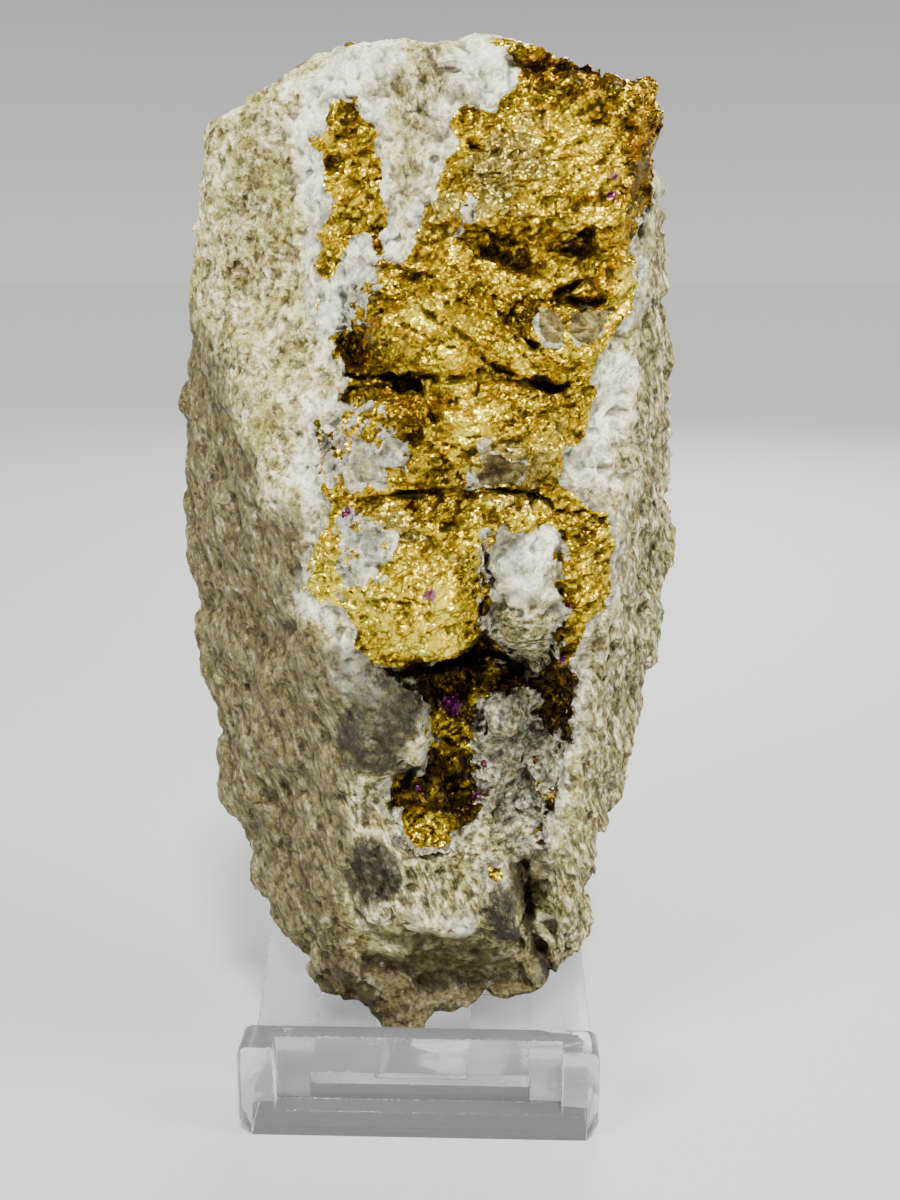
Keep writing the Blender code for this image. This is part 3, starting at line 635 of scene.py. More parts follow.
LEDGES: dict[str, Ledges] = {
    "nose": Ledges(
        [(0.5, 101.0), (5.1, 99.2), (9.0, 97.8), (13.0, 95.2), (16.8, 92.0), (12.0, 90.2), (7.0, 92.0),
         (1.0, 90.8), (-2.0, 94.0), (-1.5, 98.5)],
        slope=-36.0, spacing=1.7, depth=0.75,
    ),
    "nose_left": Ledges(
        [(-6.6, 101.0), (0.5, 101.0), (-1.5, 97.0), (-1.6, 91.0), (-7.5, 91.4), (-7.0, 97.0)],
        slope=-14.0, spacing=2.1, depth=0.5,
    ),
    "figure": Ledges(
        [(-8.6, 117.2), (-3.0, 117.2), (-2.0, 103.0), (-5.0, 99.0), (-9.5, 99.0)],
        slope=-6.0, spacing=1.9, depth=0.5,
    ),
    "second_tier": Ledges(
        [(-9.0, 89.4), (3.0, 89.8), (18.0, 89.6), (18.4, 86.0), (15.8, 79.2), (3.0, 79.0), (-8.4, 78.8)],
        slope=9.0, spacing=2.4, depth=0.45,
    ),
    "lower_block": Ledges(
        [(-9.0, 78.2), (12.0, 78.8), (20.6, 76.0), (20.6, 67.0), (7.6, 67.0), (3.0, 60.0), (-6.0, 60.0),
         (-11.6, 68.0)],
        slope=5.0, spacing=2.0, depth=0.35,
    ),
    "upper_block": Ledges(
        [(8.0, 121.4), (24.6, 120.4), (24.6, 112.0), (22.0, 104.0), (12.0, 103.4), (1.0, 106.6),
         (4.4, 115.0)],
        slope=33.0, spacing=2.2, depth=0.32,
    ),
    "cavity": Ledges(
        [(-3.0, 58.0), (7.0, 60.0), (17.6, 58.0), (17.6, 50.0), (14.4, 39.4), (7.0, 36.0), (-2.0, 38.4)],
        slope=-20.0, spacing=2.0, depth=0.6,
    ),
}


# Repeatable noise on points in millimetres

# Farther than any distance between neighbouring cells, in cells
FAR = 9.0

# Share of a cell over which the middles of chips and grains scatter, and the rim they keep clear of
SCATTER = 0.8
MARGIN = 0.1

# A chip that counts less than this at a point is left out there
LEAST_WEIGHT = 0.01

# Added to a field's salt for the middles and for the heights of its cells
MIDDLE_SALT = 10
HEIGHT_SALT = 5

# Numbers that pick the noise of the zones' borders, the cracks, the cut faces and the ledges
ZONE_SALT = 51
FINE_SALT = 20
CRACK_SALT = 71
FACET_SALT = 74
LEDGE_SALT = 81


def cell_number(cells: np.ndarray, salt: int) -> np.ndarray:
    """Give each whole-numbered cell one repeatable number.

    Args:
        cells: Cell corners, one (x, y, z) a row.
        salt: Picks one of many independent sets of numbers.

    Returns:
        Numbers from 0 to 1.
    """
    x, y, z = cells.astype(np.int64).T
    mixed = (x * 73856093) ^ (y * 19349663) ^ (z * 83492791) ^ ((salt + 1) * 2654435761)
    mixed &= 0xFFFFFFFF
    mixed = ((mixed ^ (mixed >> 15)) * 2246822519) & 0xFFFFFFFF
    mixed = ((mixed ^ (mixed >> 13)) * 3266489917) & 0xFFFFFFFF
    return (mixed ^ (mixed >> 16)) / 0xFFFFFFFF


def cells_around(scaled: np.ndarray, salt: int) -> Iterator[tuple[np.ndarray, np.ndarray]]:
    """Go through the cell of each point and the 26 cells around it.

    Args:
        scaled: Points in cells, one a row.
        salt: Picks where the middles of the chips or grains lie in their cells.

    Yields:
        Each cell's corner, and how far the point is from the middle of its chip or grain.
    """
    home = np.floor(scaled)
    for shift in product((-1, 0, 1), repeat=3):
        cell = home + np.array(shift)
        middle = np.stack([cell_number(cell, salt + MIDDLE_SALT + axis) for axis in range(3)], axis=1)
        yield cell, scaled - (cell + MARGIN + SCATTER * middle)


@dataclass(frozen=True)
class SoftNoise:
    """Smooth noise from -1 to 1."""

    size: float
    salt: int = 0
    stretch: Place = (1.0, 1.0, 1.0)

    def at(self, points: np.ndarray) -> np.ndarray:
        """Read the noise.

        Args:
            points: Places in millimetres, one a row.

        Returns:
            Numbers from -1 to 1.
        """
        scaled = points / (self.size * np.array(self.stretch))
        corner = np.floor(scaled)
        share = scaled - corner
        share = share * share * (3 - 2 * share)
        total = np.zeros(len(points))
        for shift in product((0, 1), repeat=3):
            near = np.prod(np.where(shift, share, 1 - share), axis=1)
            total += near * cell_number(corner + np.array(shift), self.salt)
        return 2 * total - 1


@dataclass(frozen=True)
class LayeredNoise:
    """Soft noises added up, each with its own strength."""

    layers: tuple[tuple[float, SoftNoise], ...]

    def at(self, points: np.ndarray) -> np.ndarray:
        """Return the sum of the noises at points in millimetres."""
        return sum(strength * noise.at(points) for strength, noise in self.layers)


@dataclass(frozen=True)
class ChipField:
    """Flat tilted chips, as on a broken surface."""

    size: float
    depth: float
    salt: int = 0
    stretch: Place = (1.0, 1.0, 1.0)
    crispness: float = 26.0
    step: float = 0.6

    def at(self, points: np.ndarray) -> np.ndarray:
        """Work out the height of the chips.

        Args:
            points: Places in millimetres, one a row.

        Returns:
            How far out the surface stands at each, in millimetres.
        """
        scaled = points / (self.size * np.array(self.stretch))
        nearest = np.full(len(points), FAR)
        found = []
        for cell, away in cells_around(scaled, self.salt):
            square = np.einsum("ij,ij->i", away, away)
            nearest = np.minimum(nearest, square)
            found.append((cell, away, square))
        total = np.zeros(len(points))
        weights = np.zeros(len(points))
        for cell, away, square in found:
            weight = np.exp(-self.crispness * (square - nearest))
            lively = weight > LEAST_WEIGHT
            tilts = [cell_number(cell[lively], self.salt + axis) for axis in range(3)]
            tilt = np.stack(tilts, axis=1) - 0.5
            rise = cell_number(cell[lively], self.salt + HEIGHT_SALT) - 0.5
            plane = 2 * np.einsum("ij,ij->i", away[lively], tilt) + self.step * rise
            total[lively] += weight[lively] * plane
            weights[lively] += weight[lively]
        return self.depth * total / weights


@dataclass(frozen=True)
class GrainField:
    """Rounded grains packed side by side, as in sugary quartz."""

    size: float
    depth: float
    salt: int = 0
    stretch: Place = (1.0, 1.0, 1.0)
    roundness: float = 6.0
    sink: float = 0.6

    def at(self, points: np.ndarray) -> np.ndarray:
        """Work out the height of the grains.

        Args:
            points: Places in millimetres, one a row.

        Returns:
            How far out the grains stand at each, in millimetres.
        """
        scaled = points / (self.size * np.array(self.stretch))
        first = np.full(len(points), FAR)
        second = np.full(len(points), FAR)
        height = np.zeros(len(points))
        for cell, offset in cells_around(scaled, self.salt):
            away = np.linalg.norm(offset, axis=1)
            closer = away < first
            second = np.where(closer, first, np.minimum(second, away))
            height = np.where(closer, cell_number(cell, self.salt + HEIGHT_SALT), height)
            first = np.minimum(first, away)
        dome = 1 - np.exp(-self.roundness * (second - first))
        return self.depth * (dome * (0.5 + height) - self.sink)


def outline_distance(flat: np.ndarray, outline: Points) -> np.ndarray:
    """Measure how far inside an outline each point lies.

    Args:
        flat: Points on the picture plane, in millimetres.
        outline: The closed outline's corners, in millimetres.

    Returns:
        Distances in millimetres, below 0 outside.
    """
    corners = np.array(outline)
    nearest = np.full(len(flat), 1e9)
    inside = np.zeros(len(flat), dtype=bool)
    for start, end in zip(corners, np.roll(corners, -1, axis=0)):
        nearest = np.minimum(nearest, segment_distance(flat, start, end))
        if start[1] != end[1]:
            level = (start[1] > flat[:, 1]) != (end[1] > flat[:, 1])
            crossing = start[0] + (flat[:, 1] - start[1]) / (end[1] - start[1]) * (end[0] - start[0])
            inside ^= level & (flat[:, 0] < crossing)
    return np.where(inside, nearest, -nearest)


def segment_distance(flat: np.ndarray, start: np.ndarray, end: np.ndarray) -> np.ndarray:
    """Measure how far each point is from a straight stretch.

    Args:
        flat: Points on the picture plane, in millimetres.
        start: One end of the stretch.
        end: The other end.

    Returns:
        Distances in millimetres.
    """
    span = np.asarray(end) - np.asarray(start)
    share = np.clip((flat - start) @ span / max(span @ span, 1e-9), 0, 1)
    return np.linalg.norm(flat - start - share[:, None] * span, axis=1)


def route_distance(flat: np.ndarray, route: Points) -> np.ndarray:
    """Measure how far each point is from an open route.

    Args:
        flat: Points on the picture plane, in millimetres.
        route: The route's corners, in millimetres.

    Returns:
        Distances in millimetres.
    """
    corners = np.array(route)
    distances = [segment_distance(flat, start, end) for start, end in zip(corners, corners[1:])]
    return np.min(distances, axis=0)


def deepest(flat: np.ndarray, outlines: Iterable[Points]) -> np.ndarray:
    """Measure how far inside any of several outlines each point lies.

    Args:
        flat: Points on the picture plane, in millimetres.
        outlines: The closed outlines.

    Returns:
        Distances in millimetres, below 0 outside them all.
    """
    return np.max([outline_distance(flat, outline) for outline in outlines], axis=0)


def ease(values: np.ndarray, low: float, high: float) -> np.ndarray:
    """Return 0 at low and before it, 1 at high and past it, and a smooth rise between."""
    share = np.clip((values - low) / (high - low), 0, 1)
    return share * share * (3 - 2 * share)


def shaken(flat: np.ndarray, points: np.ndarray, reach: float, size: float, salt: int) -> np.ndarray:
    """Push places on the picture plane about, so that what is drawn there gets uneven edges.

    Args:
        flat: The places, in millimetres.
        points: The points of the surface that they belong to, in millimetres.
        reach: How far they are pushed, in millimetres.
        size: The size of the noise in millimetres.
        salt: Picks the noise.

    Returns:
        The pushed places.
    """
    push = np.stack([SoftNoise(size, salt).at(points), SoftNoise(size, salt + 1).at(points)], axis=1)
    return flat + reach * push


# Where each mineral shows

@dataclass(frozen=True)
class Patch:
    """A patch away from the front: its middle and its half sizes, in millimetres."""

    centre: Place
    reach: Place


@dataclass(frozen=True)
class Spot:
    """A small spot on the front: its place on the picture plane and its radius, in millimetres."""

    place: tuple[float, float]
    radius: float


@dataclass(frozen=True)
class MineralMap:
    """The places of ore, quartz and tarnish on the stone; lengths in millimetres.

    `border` makes every border of the ore ragged and `torn` those of the quartz in it. Ore that
    is mixed with quartz breaks up by `flecks`, and the ore of the front ends at `ore_back`.
    """

    view: Viewpoint
    ragged: float = 0.55
    border: LayeredNoise = LayeredNoise(
        ((1.0, SoftNoise(2.4, 35)), (0.8, SoftNoise(1.2, 31)), (0.5, SoftNoise(0.6, 32)))
    )
    torn: LayeredNoise = LayeredNoise(((0.9, SoftNoise(1.5, 36)), (0.7, SoftNoise(0.7, 37))))
    flecks: SoftNoise = SoftNoise(1.9, 33)
    fleck_reach: float = 2.6
    fleck_share: float = 0.3
    mixed_rim: tuple[float, float] = (-0.5, 1.0)
    ore_back: float = 12.5
    ore_back_noise: SoftNoise = SoftNoise(4.0, 34)
    ore_back_reach: float = 2.5
    outside: float = 9.0
    back_border: LayeredNoise = LayeredNoise(((2.4, SoftNoise(5.0, 41)), (1.2, SoftNoise(1.8, 42))))
    back_fade: tuple[float, float] = (14.5, 6.5)
    back_patches: tuple[Patch, ...] = (
        Patch((4.0, 33.0, 84.0), (9.0, 6.0, 12.0)),
        Patch((-9.0, 31.0, 60.0), (6.0, 6.0, 7.0)),
        Patch((14.0, 30.0, 62.0), (4.5, 6.0, 8.0)),
        Patch((28.0, 19.0, 78.0), (4.5, 6.5, 6.0)),
        Patch((-4.0, 27.0, 110.0), (6.0, 6.0, 5.0)),
    )
    iris_border: SoftNoise = SoftNoise(0.6, 61)
    iris_spots: tuple[Spot, ...] = (
        Spot((19.7, 108.1), 0.55), Spot((19.7, 110.0), 0.45), Spot((-6.6, 76.2), 0.9),
        Spot((1.7, 67.7), 0.75), Spot((15.8, 60.8), 0.6), Spot((14.1, 49.6), 0.7),
        Spot((3.9, 55.5), 1.0), Spot((16.4, 66.5), 0.6),
    )

    def ore(self, points: np.ndarray) -> np.ndarray:
        """Measure how deep inside the ore each point lies.

        Args:
            points: Places on the surface in millimetres.

        Returns:
            Distances in millimetres, below 0 in the quartz.
        """
        flat = self.view.picture(points)
        front = deepest(flat, ORE_OUTLINES.values())
        front = np.minimum(front, self.torn.at(points) - deepest(flat, QUARTZ_OUTLINES.values()))
        front = np.minimum(front, -deepest(flat, SMOKY_OUTLINES.values()))
        mixed = ease(self.zone(points, Zone.MIXED), *self.mixed_rim)
        cavity = ease(self.zone(points, Zone.CAVITY), *self.mixed_rim)
        loose = np.maximum(self.fleck_reach * mixed, cavity)
        front = front - loose * (self.fleck_share + self.flecks.at(points))
        back = self.ore_back + self.ore_back_reach * self.ore_back_noise.at(points)
        front = np.minimum(front, back - points[:, 1])
        return np.maximum(front, self.back_ore(points)) + self.ragged * self.border.at(points)

    def back_ore(self, points: np.ndarray) -> np.ndarray:
        """Measure how deep inside the ore of the back and sides each point lies.

        Args:
            points: Places on the surface in millimetres.

        Returns:
            Distances in millimetres, below 0 in the quartz.
        """
        ragged = self.back_border.at(points)
        depth = np.full(len(points), -self.outside)
        for patch in self.back_patches:
            share = np.linalg.norm((points - patch.centre) / patch.reach, axis=1)
            depth = np.maximum(depth, (1 - share) * min(patch.reach) + ragged)
        return depth - self.outside * ease(points[:, 1], *self.back_fade)

    def smoky(self, points: np.ndarray) -> np.ndarray:
        """Measure how deep inside a clear grey piece of quartz each point lies.

        Args:
            points: Places on the surface in millimetres.

        Returns:
            Distances in millimetres, below 0 outside.
        """
        front = deepest(self.view.picture(points), SMOKY_OUTLINES.values())
        return np.minimum(front, self.ore_back - points[:, 1])

    def zone(self, points: np.ndarray, zone: Zone) -> np.ndarray:
        """Measure how deep inside a zone of the front each point lies.

        Args:
            points: Places on the surface in millimetres.
            zone: The zone asked for.

        Returns:
            Distances in millimetres, below 0 outside.
        """
        return deepest(self.view.picture(points), ZONE_OUTLINES[zone])

    def share(self, points: np.ndarray, zone: Zone) -> np.ndarray:
        """Work out how far each point belongs to a zone, over its soft, uneven border.

        Args:
            points: Places on the surface in millimetres.
            zone: The zone asked for.

        Returns:
            Shares from 0 to 1.
        """
        blend = ZONE_BLENDS[zone]
        salt = ZONE_SALT + list(Zone).index(zone)
        broad = SoftNoise(1.0 + blend, salt).at(points)
        fine = SoftNoise(1.1, salt + FINE_SALT).at(points)
        uneven = 0.8 * blend * broad + 0.4 * fine
        return ease(self.zone(points, zone) + uneven, -blend / 2, blend / 2)

    def iris(self, points: np.ndarray) -> np.ndarray:
        """Work out the strength of the purple film.

        Args:
            points: Places on the surface in millimetres.

        Returns:
            Strengths from 0 to 1.
        """
        flat = self.view.picture(points)
        uneven = 0.5 * self.iris_border.at(points)
        film = np.zeros(len(points))
        for spot in self.iris_spots:
            away = np.linalg.norm(flat - spot.place, axis=1) / spot.radius
            film = np.maximum(film, ease(1.2 - away + uneven, 0.0, 0.6))
        return np.where(points[:, 1] < self.ore_back, film, 0.0)


# The stone's shape

@dataclass
class Surface:
    """A mesh's points, normals and edges as arrays, in millimetres."""

    mesh: bpy.types.Mesh
    points: np.ndarray = field(init=False)
    normals: np.ndarray = field(init=False)

    def __post_init__(self) -> None:
        """Read the mesh."""
        self.read()

    def read(self) -> None:
        """Read the points and normals from the mesh."""
        count = len(self.mesh.vertices)
        self.points = np.empty(count * 3)
        self.mesh.vertices.foreach_get("co", self.points)
        self.points = self.points.reshape(-1, 3) / MM
        self.normals = np.empty(count * 3, dtype=np.float32)
        self.mesh.vertex_normals.foreach_get("vector", self.normals)
        self.normals = self.normals.reshape(-1, 3).astype(float)

    def write(self) -> None:
        """Write the points back to the mesh."""
        self.mesh.vertices.foreach_set("co", (self.points * MM).ravel())
        self.mesh.update()

    def push(self, heights: np.ndarray) -> None:
        """Move each point along its normal.

        Args:
            heights: How far out each point goes, in millimetres.
        """
        self.points += self.normals * heights[:, None]
        self.write()
        self.read()

    def averaged(self, rounds: int) -> np.ndarray:
        """Smooth the points by moving each halfway to the middle of its neighbours.

        Args:
            rounds: How many times they are moved.

        Returns:
            The smoothed points, in millimetres.
        """
        edges = np.empty(len(self.mesh.edges) * 2, dtype=np.int32)
        self.mesh.edges.foreach_get("vertices", edges)
        start, end = edges.reshape(-1, 2).T
        count = len(self.points)
        links = np.bincount(start, minlength=count) + np.bincount(end, minlength=count)
        places = self.points.copy()
        for _ in range(rounds):
            middle = np.empty_like(places)
            for axis in range(3):
                column = places[:, axis]
                ahead = np.bincount(start, column[end], count)
                behind = np.bincount(end, column[start], count)
                middle[:, axis] = ahead + behind
            places = 0.5 * places + 0.5 * middle / links[:, None]
        return places

    def hollow(self, rounds: int) -> np.ndarray:
        """Measure how deep each point lies below its surroundings.

        Args:
            rounds: How far the surroundings reach, in rounds of smoothing.

        Returns:
            Depths in millimetres, below 0 on bumps.
        """
        return np.einsum("ij,ij->i", self.averaged(rounds) - self.points, self.normals)

    def store(self, name: str, values: np.ndarray) -> None:
        """Keep one number a point as an attribute that materials can read.

        Args:
            name: The attribute's name.
            values: The numbers.
        """
        attribute = self.mesh.attributes.new(name, "FLOAT", "POINT")
        attribute.data.foreach_set("value", values.astype(np.float32))


def select_only(thing: bpy.types.Object) -> None:
    """Select one object and make it the active one."""
    bpy.ops.object.select_all(action="DESELECT")
    thing.select_set(True)
    bpy.context.view_layer.objects.active = thing


def apply_modifier(thing: bpy.types.Object, kind: str, **settings: object) -> None:
    """Add a modifier, set it and apply it.

    Args:
        thing: The object to change.
        kind: The modifier's type.
        settings: Its settings by name.
    """
    select_only(thing)
    modifier = thing.modifiers.new(kind.lower(), kind)
    for name, value in settings.items():
        setattr(modifier, name, value)
    bpy.ops.object.modifier_apply(modifier=modifier.name)


def copy_of_node(node: str, name: str) -> bpy.types.Object:
    """Copy a CAD node's mesh as a new piece, with its doubled points merged.

    Args:
        node: The CAD node's name.
        name: The new piece's name.

    Returns:
        The new piece, at the origin.
    """
    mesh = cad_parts[node].data.copy()
    mesh.name = name
    piece = bpy.data.objects.new(name, mesh)
    bpy.context.scene.collection.objects.link(piece)
    mesh.materials.clear()
    select_only(piece)
    bpy.ops.object.mode_set(mode="EDIT")
    bpy.ops.mesh.select_all(action="SELECT")
    bpy.ops.mesh.remove_doubles(threshold=0.001 * MM)
    bpy.ops.object.mode_set(mode="OBJECT")
    return piece


def turned(points: np.ndarray, degrees: float) -> np.ndarray:
    """Turn points about the Y axis, for patterns that run aslant.

    Args:
        points: Places in millimetres, one a row.
        degrees: How far they are turned.

    Returns:
        The turned places.
    """
    angle = math.radians(degrees)
    x, y, z = points.T
    across = x * math.cos(angle) + z * math.sin(angle)
    up = z * math.cos(angle) - x * math.sin(angle)
    return np.stack([across, y, up], axis=1)


@dataclass
class Stone:
    """The specimen: ore and quartz in one piece, broken on every side.

    Lengths are in millimetres but for `voxel`. A fade is the place where something is gone and
    the place where it is whole; a border is such a pair of depths inside the ore. `hollows` names
    attributes for hollows of two sizes, with the rounds of smoothing that find them and the depth
    that counts as 1.
    """

    minerals: MineralMap
    voxel: float = 0.58 * MM
    smoothing: int = 6
    triangles: int = 196000
    smooth_below: float = math.radians(24)
    coarse_border: tuple[float, float] = (-0.4, 0.8)
    fine_border: tuple[float, float] = (-0.3, 0.3)
    refined_from: float = -0.6
    refined_to_y: float = 12.0
    ore_levels: tuple[ChipField, ...] = (
        ChipField(6.0, 0.9, 1, (1.4, 1.0, 0.8), 12.0, 0.8),
        ChipField(2.7, 1.05, 2, (1.2, 1.0, 0.8), 24.0, 0.7),
        ChipField(1.25, 0.42, 3, (1.3, 1.0, 0.8), 24.0, 0.6),
        ChipField(0.62, 0.16, 4, (1.0, 1.0, 1.0), 20.0, 0.8),
    )
    quartz_levels: tuple[ChipField | GrainField, ...] = (
        ChipField(7.0, 0.9, 5, (1.0, 1.0, 1.0), 10.0, 0.6),
        ChipField(3.0, 0.5, 6, (1.0, 1.0, 1.0), 14.0, 0.7),
        ChipField(1.5, 0.38, 7, (1.0, 1.0, 1.0), 20.0, 1.0),
        GrainField(0.95, 0.12, 8),
    )
    ridge: ChipField = ChipField(1.5, 0.3, 9, (3.2, 1.0, 0.7), 14.0, 0.8)
    ridge_height_fade: tuple[float, float] = (103.0, 106.0)
    ridge_side_fade: tuple[float, float] = (1.0, 4.0)
    streak: ChipField = ChipField(1.3, 0.24, 11, (0.8, 1.0, 3.2), 18.0, 0.9)
    step: ChipField = ChipField(3.2, 0.55, 12, (0.7, 1.0, 1.8), 20.0, 0.9)
    relief_fade: tuple[float, float] = (14.0, 9.0)
    colour_fade: tuple[float, float] = (16.0, 11.0)
    crack_noise: SoftNoise = SoftNoise(1.8, CRACK_SALT + 2)
    crack_full: float = 1.2
    ledge_length: float = 3.4
    ledge_rim: tuple[float, float] = (-0.2, 1.2)
    hollows: tuple[tuple[str, int, float], ...] = (("hollow", 4, 0.12), ("deep", 40, 0.8))

    def build(self) -> bpy.types.Object:
        """Build the stone.

        Returns:
            The finished piece, with the attributes its material reads.
        """
        piece = copy_of_node("specimen", "chalcopyrite_stone")
        low, high = (np.array(corner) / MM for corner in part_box("specimen"))
        apply_modifier(piece, "REMESH", mode="VOXEL", voxel_size=self.voxel)
        apply_modifier(piece, "SMOOTH", factor=0.5, iterations=self.smoothing)
        self.break_up(Surface(piece.data))
        self.refine_ore(piece)
        self.roughen(Surface(piece.data))
        total = sum(len(face.vertices) - 2 for face in piece.data.polygons)
        log.info("stone before thinning: %d triangles", total)
        if total > self.triangles:
            apply_modifier(piece, "DECIMATE", ratio=self.triangles / total)
        surface = Surface(piece.data)
        surface.points = np.clip(surface.points, low, high)
        surface.write()
        surface.read()
        self.colour(surface)
        select_only(piece)
        bpy.ops.object.shade_smooth_by_angle(angle=self.smooth_below)
        return piece

    def break_up(self, surface: Surface) -> None:
        """Give the blocks of ore and quartz their larger chips.

        Args:
            surface: The stone's surface, which is changed.
        """
        points = surface.points
        ore = ease(self.minerals.ore(points), *self.coarse_border)
        chips = self.ore_levels[0].at(points) + self.ore_levels[1].at(points)
        lumps = self.quartz_levels[0].at(points) + self.quartz_levels[1].at(points)
        surface.push(ore * chips + (1 - ore) * lumps)

    def refine_ore(self, piece: bpy.types.Object) -> None:
        """Divide the faces of the ore on the front, where the chips are finest.

        Args:
            piece: The stone, which is changed.
        """
        points = Surface(piece.data).points
        chosen = (self.minerals.ore(points) > self.refined_from) & (points[:, 1] < self.refined_to_y)
        select_only(piece)
        bpy.ops.object.mode_set(mode="EDIT")
        bpy.ops.mesh.select_all(action="DESELECT")
        bpy.ops.object.mode_set(mode="OBJECT")
        marked = np.zeros(len(piece.data.polygons), dtype=bool)
        for index, face in enumerate(piece.data.polygons):
            marked[index] = all(chosen[vertex] for vertex in face.vertices)
        piece.data.polygons.foreach_set("select", marked)
        bpy.ops.object.mode_set(mode="EDIT")
        bpy.ops.mesh.subdivide(number_cuts=1)
        bpy.ops.object.mode_set(mode="OBJECT")

    def roughen(self, surface: Surface) -> None:
        """Add the fine chips, ridges, grains and cracks.

        Args:
            surface: The stone's surface, which is changed.
        """
        points = surface.points
        ore = ease(self.minerals.ore(points), *self.fine_border)
        front = ease(points[:, 1], *self.relief_fade)
        upper = ease(points[:, 2], *self.ridge_height_fade) * ease(points[:, 0], *self.ridge_side_fade)
        tan = self.minerals.share(points, Zone.TAN)
        green_and_shade = self.minerals.share(points, Zone.GREEN)
        ridges = upper * front * self.ridge.at(turned(points, RIDGE_SLOPE))
        chips = self.ore_levels[2].at(points) + self.ore_levels[3].at(points)
        chips += ridges + front * self.ledge_height(points)
        grains = self.quartz_levels[2].at(points) + self.quartz_levels[3].at(points)
        steep = turned(points, STREAK_SLOPE)
        splinters = np.maximum(tan, green_and_shade) * (self.streak.at(steep) + self.step.at(steep))
        grains = grains * (1 - 0.35 * tan) + splinters
        surface.push(ore * chips + (1 - ore) * grains)
        surface.points[:, 1] -= front * (self.facet_height(points) - self.crack_depth(points))
        surface.write()
        surface.read()

    def crack_depth(self, points: np.ndarray) -> np.ndarray:
        """Work out how deep the cracks and seams of the front cut in.

        Args:
            points: Places on the surface in millimetres.

        Returns:
            Depths in millimetres.
        """
        flat = shaken(self.minerals.view.picture(points), points, reach=0.4, size=1.5, salt=CRACK_SALT)
        uneven = 0.75 + 0.55 * self.crack_noise.at(points)
        depth = np.zeros(len(points))
        for crack in CRACKS.values():
            away = route_distance(flat, crack.route) / (crack.width / 2 * uneven)
            depth = np.maximum(depth, crack.depth * uneven * np.exp(-away ** 2))
        return depth

    def facet_height(self, points: np.ndarray) -> np.ndarray:
        """Work out how far the cut faces of the front stand out.

        Args:
            points: Places on the surface in millimetres.

        Returns:
            Heights in millimetres.
        """
        flat = shaken(self.minerals.view.picture(points), points, reach=0.35, size=1.7, salt=FACET_SALT)
        height = np.zeros(len(points))
        for facet in FACETS.values():
            inside = ease(outline_distance(flat, facet.outline), -facet.soft / 2, facet.soft / 2)
            offset = flat - np.mean(facet.outline, axis=0)
            height += inside * (facet.rise + offset @ np.array(facet.lean))
        return height

    def ledge_height(self, points: np.ndarray) -> np.ndarray:
        """Work out how far the small ledges of the ore stand out.

        Each band of ledges is cut into stretches of their own height.

        Args:
            points: Places on the surface in millimetres.

        Returns:
            Heights in millimetres.
        """
        flat = self.minerals.view.picture(points)
        height = np.zeros(len(points))
        for number, ledges in enumerate(LEDGES.values()):
            slope = math.radians(ledges.slope)
            along = flat @ np.array([math.cos(slope), math.sin(slope)])
            across = flat @ np.array([-math.sin(slope), math.cos(slope)]) / ledges.spacing
            salt = LEDGE_SALT + number
            across += 0.45 * SoftNoise(3.2, salt).at(points)
            across += 0.2 * SoftNoise(1.1, salt + 10).at(points)
            band = np.floor(across)
            shift = 7 * cell_number(np.stack([band, band * 0, band * 0], axis=1), salt + 20)
            stretch = np.floor(along / self.ledge_length + shift)
            strength = 0.35 + 0.9 * cell_number(np.stack([band, stretch, band * 0], axis=1), salt + 21)
            inside = ease(outline_distance(flat, ledges.outline), *self.ledge_rim)
            height += inside * ledges.depth * strength * (0.5 - (across - band))
        return height

    def colour(self, surface: Surface) -> None:
        """Store what the material reads at each point.

        Args:
            surface: The finished surface.
        """
        points = surface.points
        surface.store("ore", np.clip(self.minerals.ore(points), -3, 3))
        surface.store("smoky", np.clip(self.minerals.smoky(points), -3, 3))
        # The materials read hollow and deep as painted shade in hollows and deep recesses.
        for name, rounds, depth in self.hollows:
            surface.store(name, surface.hollow(rounds) / depth)
        surface.store("iris", self.minerals.iris(points))
        front = ease(points[:, 1], *self.colour_fade)
        # The materials also darken the cracks with this, as painted shade.
        surface.store("crack", front * np.clip(self.crack_depth(points) / self.crack_full, 0, 1))
        for zone in Zone:
            share = self.minerals.share(points, zone)
            surface.store(zone.value, share if zone in ROUND_THE_SIDES else front * share)


# Materials

class Wire:
    """A number carried by a socket; arithmetic on it adds Math nodes."""

    def __init__(self, bench: "Bench", socket: Socket) -> None:
        """Wrap a socket of a bench's tree."""
        self.bench = bench
        self.socket = socket

    def _maths(self, operation: str, *values: object) -> "Wire":
        """Add a Math node and return what it gives."""
        node = self.bench.add("ShaderNodeMath", {"operation": operation}, dict(enumerate(values)))
        return Wire(self.bench, node.outputs[0])

    def __add__(self, other: "Wire | float") -> "Wire":
        """Add."""
        return self._maths("ADD", self, other)

    __radd__ = __add__

    def __sub__(self, other: "Wire | float") -> "Wire":
        """Subtract."""
        return self._maths("SUBTRACT", self, other)

    def __rsub__(self, other: float) -> "Wire":
        """Subtract from a number."""
        return self._maths("SUBTRACT", other, self)

    def __mul__(self, other: "Wire | float") -> "Wire":
        """Multiply."""
        return self._maths("MULTIPLY", self, other)

    __rmul__ = __mul__

    def at_least(self, other: "Wire | float") -> "Wire":
        """Return the larger of the two."""
        return self._maths("MAXIMUM", self, other)

    def between(self, low: float, high: float) -> "Wire":
        """Return 0 below low, 1 above high and a smooth rise between."""
        inputs = {"Value": self, "From Min": low, "From Max": high}
        node = self.bench.add("ShaderNodeMapRange", {"interpolation_type": "SMOOTHSTEP"}, inputs)
        return Wire(self.bench, node.outputs["Result"])


